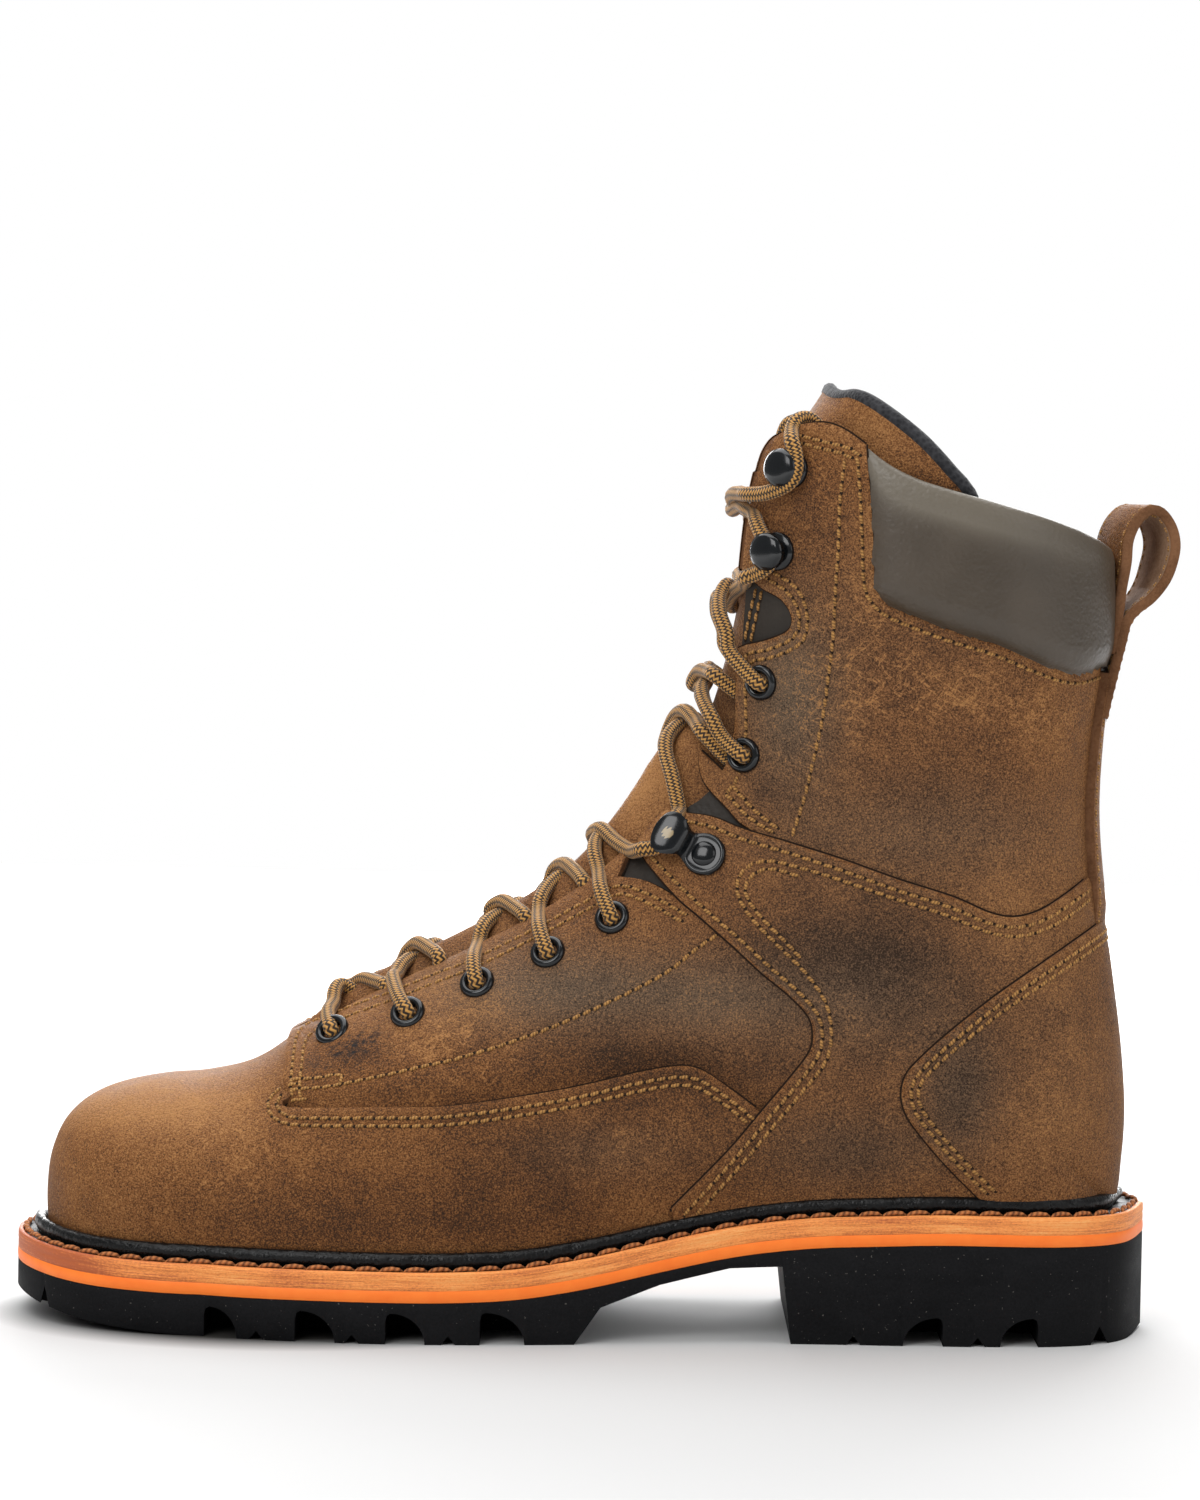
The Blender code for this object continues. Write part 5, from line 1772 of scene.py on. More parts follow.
@dataclass
class Collar:
    """Padded collar: bulges out of the shaft's bay and rolls over the rim to the inside, with a painted sheen
    along its top.
    """

    last: Last
    swell: float = 4.4
    slump: float = 3.0
    sunk: float = -0.9
    reach: float = 8.0
    crown: float = 8.0
    crest_level: float = -1.8
    inside_level: float = -4.4
    columns: int = 44
    lowest: float = 27.9
    slump_over: float = 2.4
    slump_from: float = 0.35
    slump_share: float = 0.65
    back_width: float = 20.0
    # Painted sheen: a lighter band just under the rim, standing in for the light's reflection on the rolled
    # top.
    painted_sheen: float = 0.80
    painted_sheen_up: float = 0.25
    painted_sheen_spread: float = 0.38
    leather_rows: int = 11
    roll_rows: int = 17
    lining_rows: int = 10

    RIM = (
        (0.0, 30.85), (0.05, 30.92), (0.12, 30.97), (0.22, 30.99), (0.55, 30.95), (0.72, 30.97),
        (0.79, 31.0), (0.85, 31.13),
    )

    def build(self) -> None:
        """Make the pad with the lining behind its rim."""
        last = self.last
        edge = last.traced(PanelLines.PAD_EDGE)
        front_t = edge[:, 1].max()
        edge_points = last.solid_line(edge)
        polygon = edge[:, :2]
        t_cols = np.linspace(front_t + 0.02, 0.0, self.columns)
        climb = np.linspace(0.0, 1.0, 50)
        closed = np.vstack([polygon, [(polygon[-1, 0], -0.05), (Last.TOP, -0.05), (Last.TOP, polygon[0, 1])]])
        draft = Draft()

        def level(s: Array, t: Array) -> Array:
            """Height of the pad over the last: a round swell inside its edge, slumped towards the rim.

            Args:
                s: Section numbers.
                t: Fractions up each cut.

            Returns:
                Heights in millimetres.
            """
            base = last.point(s, t, Side.OUTER)
            within = inside(np.stack([s, t], axis=1), closed)
            gap = np.where(within, near(base, edge_points), 0.0)
            bulge = np.sqrt(np.clip(1.0 - (1.0 - np.clip(gap / self.reach, 0.0, 1.0)) ** 2, 0.0, 1.0))
            climbed = np.clip((s - self.lowest) / self.slump_over - self.slump_from, 0.0, 1.0)
            swell = self.swell - self.slump * climbed / self.slump_share
            swell = swell * soft_step(0.1 + np.abs(base[:, 1]) / self.back_width)
            return self.sunk + (swell - self.sunk) * bulge

        crest = lookup(self.RIM, t_cols)
        proud = (level(crest - 0.4, t_cols) - self.crest_level) / (self.swell - self.crest_level)
        tall = self.crown * np.clip(2.0 * proud, 0.2, 1.0)
        pace = last.point(crest, t_cols, Side.OUTER) - last.point(crest - 0.5, t_cols, Side.OUTER)
        top = crest - 0.5 * tall / np.linalg.norm(pace, axis=1)
        for side in Side:
            flip = side is Side.OUTER
            climbs, t = np.meshgrid(climb, t_cols, indexing="ij")
            s = self.lowest + (top - self.lowest) * climbs
            height = level(s.ravel(), t.ravel()).reshape(s.shape)
            rim = self.rolled(top, t_cols, side, height[-1], tall)
            # Painted sheen along the pad's top, carried over the roll.
            painted_sheen = self.painted_sheen * np.exp(-(((top + self.painted_sheen_up - s) / self.painted_sheen_spread) ** 2))
            painted_sheen = painted_sheen * soft_step(0.2 + t / 0.6)
            draft.grid(last.lifted(s, t, side, height), 0, flip=flip, tone=painted_sheen)
            over, behind = rim[:self.leather_rows], rim[self.leather_rows - 1:]
            draft.grid(over, 0, flip=flip, tone=np.broadcast_to(painted_sheen[-1], over.shape[:2]))
            draft.grid(behind, 1, flip=flip)
        pad = draft.build("collar_pad_leather", (COLLAR_LEATHER, LINING), weld=0.02, sharp=70.0)
        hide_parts("collar_pad")

    def rolled(self, s: Array, t: Array, side: Side, outside: Array, tall: Array) -> Array:
        """Rows over the rim and down the inside, from the pad's last outer row.

        Args:
            s: Sections of the last outer row.
            t: Fractions along it.
            side: Which face of the boot.
            outside: Heights of that row.
            tall: Rise of the roll.

        Returns:
            Rows of points.
        """
        last = self.last
        base, normal = last.point(s, t, side), last.normal(s, t, side)
        up = unit(last.point(s + 0.1, t, side) - last.point(s - 0.1, t, side))
        rows = []
        for angle in np.linspace(0.0, math.pi, self.roll_rows):
            turn = math.cos(angle)
            behind = np.full(len(t), self.crest_level - self.inside_level)
            out = self.crest_level + (outside - self.crest_level if turn > 0.0 else behind) * turn
            rows.append(base + normal * out[:, None] + up * (tall * math.sin(angle))[:, None])
        for down in np.linspace(0.2, 2.2, self.lining_rows):
            rows.append(last.lifted(s - down, t, side, self.inside_level))
        return np.array(rows)


@dataclass
class Tongue:
    """Wide leather tongue, puffed in the throat, lined inside and bound along its top."""

    last: Last
    tone: LeatherTone
    bottom: float = 8.3
    thickness: float = 3.0
    binding: float = 2.1
    widest: float = 108.0
    least_gap: float = 6.0
    flat_half: float = 9.0

    TOP_EDGE = (
        (823, 382), (837, 388), (860, 401), (890, 421), (920, 443), (945, 465), (966, 485), (984, 505),
        (1000, 528),
    )
    SPREAD = (
        (8.2, 13.0), (12.0, 25.0), (14.5, 40.0), (16.0, 50.0), (18.0, 53.0), (24.0, 58.0), (28.6, 64.0),
        (29.8, 96.0), (31.0, 106.0), (32.0, 108.0),
    )
    MIDDLE = (
        (8.0, -3.0), (9.0, 0.6), (9.8, 2.6), (10.5, 2.8), (14.0, 1.8), (16.0, 2.4), (17.0, 2.8),
        (18.0, 2.2), (19.0, 0.8), (20.0, -2.5), (21.0, -5.5), (22.0, -8.0), (28.0, -9.0), (30.5, -8.0),
        (32.0, -4.5),
    )
    EDGE = ((8.0, -4.4), (28.0, -4.4), (30.0, -5.4), (32.0, -5.4))
    LEAN = ((27.0, 0.0), (28.5, 2.0), (30.0, 4.5), (31.0, 5.2), (32.0, 5.2))

    def top_sections(self) -> tuple[Array, Array]:
        """Angles round the last and the sections that the top edge reaches there.

        Returns:
            The angles and the sections.
        """
        places = self.last.traced(self.TOP_EDGE)
        row = self.last.section(places[:, 0])
        t, full_at = places[:, 1], row["full_at"]
        above = np.clip((t - full_at) / (1.0 - full_at), 0.0, 1.0) ** (row["top"] / 2)
        below = np.clip(1.0 - t / full_at, 0.0, 1.0) ** (row["low"] / 2)
        angle = np.degrees(np.arccos(above - below))
        order = np.argsort(angle)
        return np.concatenate([[0.0], angle[order]]), np.concatenate([[Last.TOP], places[order, 0]])

    def surface(self, rows: Array, columns: Array, below: float) -> Array:
        """Points of the tongue's outer face, or of a face below it.

        Args:
            rows: Fractions from bottom to top.
            columns: Shares from edge to edge.
            below: Depth under the outer face.

        Returns:
            Rows by columns of points.
        """
        last = self.last
        angles, tops = self.top_sections()
        points = np.zeros((len(rows), len(columns), 3))
        for j, c in enumerate(columns):
            side = Side.OUTER if c < 0 else Side.INNER
            s = self.bottom + (np.interp(abs(c) * self.widest, angles, tops) - self.bottom) * rows
            angle = abs(c) * lookup(self.SPREAD, s)
            t = last.at_angle(s, angle)
            base = last.point(s, t, side)
            width = np.abs(base[:, 1] - last.section(s)["ridge_y"])
            gap = np.maximum(lookup(Last.THROAT, s), self.least_gap)
            edge = lookup(self.EDGE, s)
            level = edge + (lookup(self.MIDDLE, s) - edge) * (1.0 - soft_step(width / (gap + 3.0))) - below
            clear = np.minimum(t, last.at_width(s, side, self.flat_half))
            normal = last.normal(s, clear, side)
            normal[:, 1] *= np.minimum(width / self.flat_half, 1.0)
            normal = unit(normal)
            points[:, j] = base + normal * level[:, None]
            points[:, j, 0] += lookup(self.LEAN, s) * (1.0 - soft_step(angle / self.widest))
        return points

    def build(self) -> None:
        """Make the tongue and its binding."""
        rows = np.linspace(0.0, 1.0, 110)
        columns = np.linspace(-1.0, 1.0, 61)
        outer, inner = self.surface(rows, columns, 0.0), self.surface(rows, columns, self.thickness)
        draft = Draft()
        draft.grid(outer, 0, **self.tone.attributes(outer.reshape(-1, 3)))
        draft.grid(inner, 1, flip=True)
        draft.walls(outer, inner, 1)
        tongue = draft.build("tongue_leather", (LEATHER, LINING), weld=0.01)
        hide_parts("tongue")
        binding = Draft()
        edge = (outer[-1] + inner[-1]) / 2
        tube(binding, resample(edge, 1.2), self.binding, 10)
        binding.build("tongue_binding", (LINING,))


@dataclass
class PullLoop:
    """Back strap: sewn down the back seam, folded into a loop above the collar."""

    last: Last
    width: float = 26.0
    thickness: float = 2.8
    strip_top: float = 25.0
    strip_foot: float = 36.0
    lean: float = 5.0
    lean_from: float = 192.0
    lean_rise: float = 22.0
    strip_level: float = 2.7
    strip_sink: float = 1.2
    strip_sink_from: float = 25.9
    strip_sink_over: float = 0.4
    strip_margin: float = 1.8
    loop_margin: float = 1.9
    loop_gauge: tuple[float, float, float] = (2.7, 2.2, 0.40)
    rounding: float = 0.3
    tone: float = 0.02

    LOOP = (
        (1113, 654), (1113, 645), (1119, 613), (1122, 590), (1127, 563), (1129, 541), (1136.5, 523),
        (1148.7, 511), (1161, 512), (1171.7, 526), (1176, 544), (1173, 563), (1165.6, 581), (1152, 598),
        (1136.5, 610), (1127, 622), (1122, 641), (1117, 660), (1112, 680), (1107, 700), (1103, 718),
    )
    STRIP_SECTIONS = (28.9, 25.5)

    def build(self, stitching: Stitching) -> None:
        """Make the strip, the loop and their stitches.

        Args:
            stitching: Takes the stitches.
        """
        draft = Draft()
        self.strip(draft, stitching)
        self.loop(draft, stitching)
        strap = draft.build("pull_loop_strap", (LEATHER, CUT_EDGE, FLESH), weld=0.004, sharp=50.0)
        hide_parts("pull_loop")

    def strip(self, draft: Draft, stitching: Stitching) -> None:
        """Sewn strip that hugs the back of the shaft.

        Args:
            draft: Takes the strip.
            stitching: Takes its stitches.
        """
        last = self.last
        s = np.linspace(*self.STRIP_SECTIONS, 60)
        half = self.strip_top / 2 + (self.strip_foot - self.strip_top) / 2 * np.linspace(0.0, 1.0, len(s))
        sunk = soft_step((self.strip_sink_from - s) / self.strip_sink_over)
        level = self.strip_level - self.strip_sink * sunk
        shares = np.linspace(-1.0, 1.0, 19)
        faces = []
        for slot, height in enumerate((0.0, -self.thickness)):
            rows = np.zeros((len(s), len(shares), 3))
            for j, share in enumerate(shares):
                side = Side.OUTER if share < 0 else Side.INNER
                t = last.at_back_width(s, half * abs(share))
                rows[:, j] = last.lifted(s, t, side, level + height)
            draft.grid(rows, slot, flip=slot == 0, tone=np.full(rows.shape[:2], self.tone))
            faces.append(rows)
        for column, flip in ((0, False), (-1, True)):
            draft.grid(np.stack([rows[:, column] for rows in faces], axis=1), 1, flip=flip)
        for side in Side:
            t = last.at_back_width(s, half - self.strip_margin)
            stitching.surface_row(np.stack([s, t], axis=1), level - 0.25, side)

    def loop(self, draft: Draft, stitching: Stitching) -> None:
        """Folded loop, with its flesh side inwards.

        Args:
            draft: Takes the loop.
            stitching: Takes its stitches.
        """
        edge = [self.last.view.at_depth(pixel, -self.width / 2)[[0, 2]] for pixel in self.LOOP]
        line = smooth_curve(edge, 1.2)
        along = np.gradient(line, axis=0)
        normal = unit(np.stack([-along[:, 1], along[:, 0]], axis=1))
        half, thick = self.width / 2, self.thickness / 2
        soft, flat = thick * 0.7, half - self.rounding
        profile = ((-half, -soft), (-flat, -thick), (flat, -thick), (half, -soft),
                   (half, soft), (flat, thick), (-flat, thick), (-half, soft))
        slots = (1, 2, 1, 1, 1, 0, 1, 1)
        rows = np.zeros((len(line), len(profile), 3))
        lean = self.lean * soft_step((line[:, 1] - self.lean_from) / self.lean_rise) / self.width

        def placed(y: float, out: float) -> Array:
            """Points along the loop at a depth and at a distance from its middle line."""
            x = line[:, 0] + normal[:, 0] * out - lean * (y + half)
            return np.stack([x, np.full(len(line), y), line[:, 1] + normal[:, 1] * out], axis=1)

        for j, (y, out) in enumerate(profile):
            rows[:, j] = placed(y, out)
        for j, slot in enumerate(slots):
            pair = rows[:, [j, (j + 1) % len(profile)]]
            draft.grid(pair, slot, flip=True, tone=np.full(pair.shape[:2], self.tone))
        for out, way in ((thick, 1.0), (-thick, -1.0)):
            for y in (self.loop_margin - half, half - self.loop_margin):
                up = np.stack([normal[:, 0] * way, np.zeros(len(line)), normal[:, 1] * way], axis=1)
                row = placed(y, out) - up * 0.2
                stitching.sew(row, up, *self.loop_gauge, stitching.draft, stitching.holes)


# Sole

@dataclass
class Sole:
    """Welted sole: outsole with lugs and heel, orange layer, welt with its stitching, rand and insole."""

    last: Last
    sides: float = 7.2
    toe: float = 8.7
    heel: float = 10.0
    welt_thick: float = 5.0
    midsole_thick: float = 2.95
    joint: float = 0.15
    loop_points: int = 420
    stations: int = 260
    groove_depth: float = 24.0
    nick_depth: float = 6.0
    cut_below: float = -2.0
    cut_beyond: float = 80.0
    soft_edge: float = 0.55
    inner_reach: float = -14.0
    welt_reach: float = -15.0
    stitch_gauge: tuple[float, float, float] = (6.6, 6.5, 0.76)
    stitch_inset: float = -2.1
    stitch_lift: float = 0.25
    toe_dark: tuple[float, float, float] = (0.22, -155.0, 36.0)
    welt_waves: tuple[float, float, float] = (0.05, 17.0, 7.3)
    bead_middle: tuple[float, float] = (2.3, 2.45)
    bead_radii: tuple[float, float] = (1.9, 2.2)
    bead_arc: tuple[float, float] = (-60.0, 150.0)

    TREAD = (
        (-161.0, 7.0), (-152.0, 4.8), (-142.0, 2.9), (-134.0, 1.8), (-120.0, 0.6), (-106.0, 0.0),
        (-4.0, 0.0), (3.0, 10.0), (19.0, 16.1), (38.0, 20.6), (52.4, 21.2), (55.0, 0.0), (149.0, 0.0),
        (155.0, 1.2),
    )
    GROOVES = (
        (-104.5, -95.4, 8.2), (-79.5, -68.6, 8.4), (-55.0, -44.3, 8.4), (-29.5, -17.4, 8.8),
        (85.6, 96.5, 7.8), (112.2, 122.6, 7.8),
    )
    NICKS = (
        (-150.0, 5.0, 9.6), (-90.0, 4.0, 2.4), (-64.0, 4.0, 2.4), (-38.0, 4.0, 2.4), (72.0, 4.0, 2.6),
        (106.0, 4.0, 2.6), (140.0, 5.0, 5.0),
    )

    def edge_loop(self) -> Array:
        """Lower edge of the upper in plan, from the heel along the inner side, round the toe and back.

        Returns:
            Plan points.
        """
        last = self.last
        s = np.arange(Last.HEEL, 0.0, -0.1)
        t = np.linspace(0.0, 1.0, 120)
        parts = (
            last.point(s, 0.0 * s, Side.INNER), last.point(0.0 * t, t, Side.INNER),
            last.point(0.0 * t[::-1], t[::-1], Side.OUTER)[1:], last.point(s[::-1], 0.0 * s, Side.OUTER)[:-1],
        )
        return np.concatenate(parts)[:, :2]

    def plan_loop(self, beyond: float, sole: bool = False) -> Array:
        """Closed plan line outside the upper's lower edge.

        Args:
            beyond: Distance outwards, or past the sole's own edge.
            sole: Whether the sole's margins are added.

        Returns:
            Plan points, evenly spread.
        """
        edge = self.edge_loop()
        loop = resample(np.vstack([edge, edge[:1]]), 840.0 / self.loop_points, closed=True)
        ahead = np.roll(loop, -2, axis=0) - np.roll(loop, 2, axis=0)
        normal = unit(np.stack([ahead[:, 1], -ahead[:, 0]], axis=1))
        if np.sum(normal * (loop - loop.mean(axis=0))) < 0:
            normal = -normal
        for _ in range(12):
            normal = (np.roll(normal, 1, axis=0) + normal + np.roll(normal, -1, axis=0)) / 3
        normal = unit(normal)
        margin = np.full((len(loop), 1), beyond)
        if sole:
            forward = np.clip(-normal[:, :1], 0.0, 1.0) ** 2
            backward = np.clip(normal[:, :1], 0.0, 1.0) ** 2
            margin = margin + self.sides + (self.toe - self.sides) * forward
            margin = margin + (self.heel - self.sides) * backward
        return loop + normal * margin

    def band(self, draft: Draft, profile: Sequence[tuple[float, float, int]], sole: bool,
             tone: Optional[Callable[[Array], Array]] = None) -> None:
        """Closed band round the boot.

        Args:
            draft: Takes the band.
            profile: Corners as distance outwards, height over the welt and slot of the face that follows.
            sole: Whether distances count from the sole's edge.
            tone: Tone of the faces at plan points.
        """
        loops = []
        for beyond, height, _ in profile:
            loop = self.plan_loop(beyond, sole)
            loop = np.vstack([loop, loop[:1]])
            z = Last.welt_top(loop[:, 0]) + height
            loops.append(np.c_[loop, z])
        run = run_along(loops[0])
        corners = np.array([row[:2] for row in profile])
        ahead = np.roll(corners, -1, axis=0)
        clockwise = np.sum(corners[:, 0] * ahead[:, 1] - ahead[:, 0] * corners[:, 1]) < 0.0
        for j, (_, height, slot) in enumerate(profile):
            k = (j + 1) % len(profile)
            pair = np.stack([loops[j], loops[k]], axis=1)
            rise = abs(profile[k][1] - height) + abs(profile[k][0] - profile[j][0])
            uvs = np.stack([np.stack([run, np.full(len(run), j * 2.0)], axis=1),
                            np.stack([run, np.full(len(run), j * 2.0 + rise)], axis=1)], axis=1)
            shade = tone(pair[..., 0]) if tone else np.zeros(pair.shape[:2])
            draft.grid(pair, slot, flip=bool(clockwise), uvs=uvs, tone=shade)

    def build(self) -> None:
        """Make every layer of the sole."""
        self.build_outsole()
        under = self.welt_thick + self.joint
        draft = Draft()
        low = -under - self.midsole_thick
        edge = ((self.inner_reach, -under), (-0.1, -self.welt_thick + 0.02), (0.05, -under - 0.15),
                (0.12, (low - under) / 2), (0.0, low + 0.1), (-0.2, low - 0.25), (self.inner_reach, low))
        self.band(draft, [(*corner, 0) for corner in edge], True)
        layer = draft.build("orange_layer", (ORANGE,), weld=0.004)
        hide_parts("midsole")
        self.build_welt()
        self.build_rand()
        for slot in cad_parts["insole"].material_slots:
            slot.material = INSOLE_CLOTH.material()

    def build_welt(self) -> None:
        """Make the welt with its dark top, tan edge and rope-like stitches."""
        draft = Draft()
        thick = self.welt_thick

        def tone(x: Array) -> Array:
            """Darker towards the toe, and slightly uneven."""
            dark, toe, spread = self.toe_dark
            waves, slow, quick = self.welt_waves
            return -dark * np.exp(-((x - toe) / spread) ** 2) - waves * np.sin(x / slow) * np.sin(x / quick)

        reach = self.welt_reach
        edge = ((reach, -0.1, 1), (-3.4, -0.1, 1), (-2.9, -0.45, 1), (-1.9, -0.45, 1), (-1.4, -0.05, 0),
                (-0.7, 0.0, 0), (-0.15, -0.2, 0), (0.0, -0.6, 0), (0.05, -thick * 0.45, 0),
                (-0.12, -thick * 0.55, 0), (0.0, -thick * 0.65, 0), (0.0, -thick + 0.12, 0),
                (-0.1, -thick, 0), (reach, -thick, 1))
        self.band(draft, edge, True, tone)
        welt = draft.build("welt_strip", (WELT_TAN, WELT_BLACK), weld=0.004, sharp=55.0)
        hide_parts("welt")
        thread = Draft()
        loop = self.plan_loop(self.stitch_inset, True)
        loop = np.vstack([loop, loop[:1]])
        points = np.c_[loop, Last.welt_top(loop[:, 0]) + self.stitch_lift]
        up = np.tile([0.0, 0.0, 1.0], (len(points), 1))
        Stitching(self.last).sew(points, up, *self.stitch_gauge, thread, None)
        thread.build("welt_stitches", (WELT_THREAD,), sharp=80.0)

    def build_rand(self) -> None:
        """Make the black bead between welt and upper."""
        draft = Draft()
        bead = [(-1.6, 0.2, 0), (3.0, 0.15, 0)]
        (out, up), (wide, tall) = self.bead_middle, self.bead_radii
        for angle in np.linspace(*self.bead_arc, 12):
            a = math.radians(angle)
            bead.append((out + wide * math.cos(a), up + tall * math.sin(a), 0))
        bead.append((-1.2, 2.6, 0))
        self.band(draft, tuple(bead), False)
        rand = draft.build("rand_bead", (RAND_BLACK,), weld=0.004, sharp=60.0)
        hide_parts("rand")

    def groove(self, front: float, rear: float, height: float) -> Array:
        """Side view of a groove between lugs: a steep wall towards the arch and a round sweep.

        Args:
            front: Where it starts.
            rear: Where it ends.
            height: How high it is.

        Returns:
            Its outline.
        """
        below, shoulder = self.cut_below, 1.4
        steep_front = front < 0.0
        if not steep_front:
            front, rear = -rear, -front
        a = np.radians(np.linspace(0.0, 90.0, 9))
        back = front + shoulder + (rear - front - shoulder) * np.sin(a)
        sweep = np.stack([back, height * np.cos(a)], axis=1)
        start = np.array([(front, below), (front, height * 0.72), (front + 0.45, height * 0.93)])
        outline = np.vstack([start, sweep, [(rear + 0.4, below)]])
        if not steep_front:
            outline = outline[::-1] * [-1.0, 1.0]
        return outline

    def build_outsole(self) -> None:
        """Make the outsole, cut its grooves and round its edges."""
        loop = self.plan_loop(0.0, True)
        toe, heel = np.argmin(loop[:, 0]), np.argmax(loop[:, 0])
        ordered = np.roll(loop, -heel, axis=0)
        split = (toe - heel) % len(loop)
        one, two = ordered[:split + 1][::-1], np.vstack([ordered[split:], ordered[:1]])
        if one[:, 1].mean() > two[:, 1].mean():
            one, two = two, one
        low, high = loop[:, 0].min(), loop[:, 0].max()
        even = low + (high - low) * (0.5 - 0.5 * np.cos(np.linspace(0.0, math.pi, self.stations)))
        breaks = [row[0] for row in self.TREAD[1:-1]]
        x = np.array(sorted([v for v in even if min(abs(v - b) for b in breaks) > 0.5] + breaks))
        outer, inner = np.interp(x, one[:, 0], one[:, 1]), np.interp(x, two[:, 0], two[:, 1])
        top = Last.welt_top(x) - self.welt_thick - self.midsole_thick - 2 * self.joint
        bottom = lookup(self.TREAD, x)
        ways = ((outer, bottom), (inner, bottom), (inner, top), (outer, top))
        corners = np.stack([np.c_[x, y, z] for y, z in ways], axis=1)
        draft = Draft()
        draft.grid(corners, 0, wrap=True)
        last_row = 4 * (len(x) - 1)
        draft.faces += [(0, 1, 2, 3), (last_row + 3, last_row + 2, last_row + 1, last_row)]
        draft.slots += [0, 0]
        sole = draft.build("outsole_lugs", (RUBBER,), weld=0.002)
        self.face_outwards(sole)
        cutter = self.tread_cutter(x, outer, inner)
        cut = sole.modifiers.new("tread", "BOOLEAN")
        cut.operation, cut.object, cut.solver = "DIFFERENCE", cutter, "EXACT"
        edge = sole.modifiers.new("soft_edges", "BEVEL")
        edge.width, edge.segments = self.soft_edge * MM, 2
        edge.limit_method, edge.angle_limit = "ANGLE", math.radians(35.0)
        edge.harden_normals = False
        bpy.ops.object.select_all(action="DESELECT")
        bpy.context.view_layer.objects.active = sole
        sole.select_set(True)
        for modifier in ("tread", "soft_edges"):
            bpy.ops.object.modifier_apply(modifier=modifier)
        bpy.data.objects.remove(cutter, do_unlink=True)
        sole.data.shade_smooth()
        sole.data.set_sharp_from_angle(angle=math.radians(30.0))
        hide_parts("outsole")

    @staticmethod
    def face_outwards(piece: Piece) -> None:
        """Turn a closed mesh's faces outwards.

        Args:
            piece: The piece.
        """
        bm = bmesh.new()
        bm.from_mesh(piece.data)
        bmesh.ops.recalc_face_normals(bm, faces=bm.faces)
        bm.to_mesh(piece.data)
        bm.free()

    def tread_cutter(self, x: Array, outer: Array, inner: Array) -> Piece:
        """Prisms that cut the grooves and nicks from both edges inwards.

        Args:
            x: Stations along the sole.
            outer: Its outer edge there.
            inner: Its inner edge there.

        Returns:
            The cutter, which is removed after use.
        """
        shapes = [(self.groove(*row), self.groove_depth, (row[0] + row[1]) / 2) for row in self.GROOVES]
        for at, width, height in self.NICKS:
            front, rear, below = at - width / 2, at + width / 2, self.cut_below
            outline = ((front, below), (rear, below), (rear, 0.0), (at, height), (front, 0.0))
            shapes.append((np.array(outline), self.nick_depth, at))
        draft = Draft()
        for outline, depth, at in shapes:
            count = len(outline)
            faces = [(i, (i + 1) % count, count + (i + 1) % count, count + i) for i in range(count)]
            faces += [tuple(range(count))[::-1], tuple(range(count, 2 * count))]
            edges = (np.interp(at, x, outer), np.interp(at, x, inner))
            for y0, y1 in ((-self.cut_beyond, edges[0] + depth), (edges[1] - depth, self.cut_beyond)):
                points = [(px, y, pz) for y in (y0, y1) for px, pz in outline]
                draft.add(np.array(points), faces)
        cutter = draft.build("tread_cutter", (RUBBER,))
        self.face_outwards(cutter)
        return cutter


# Hardware and lace

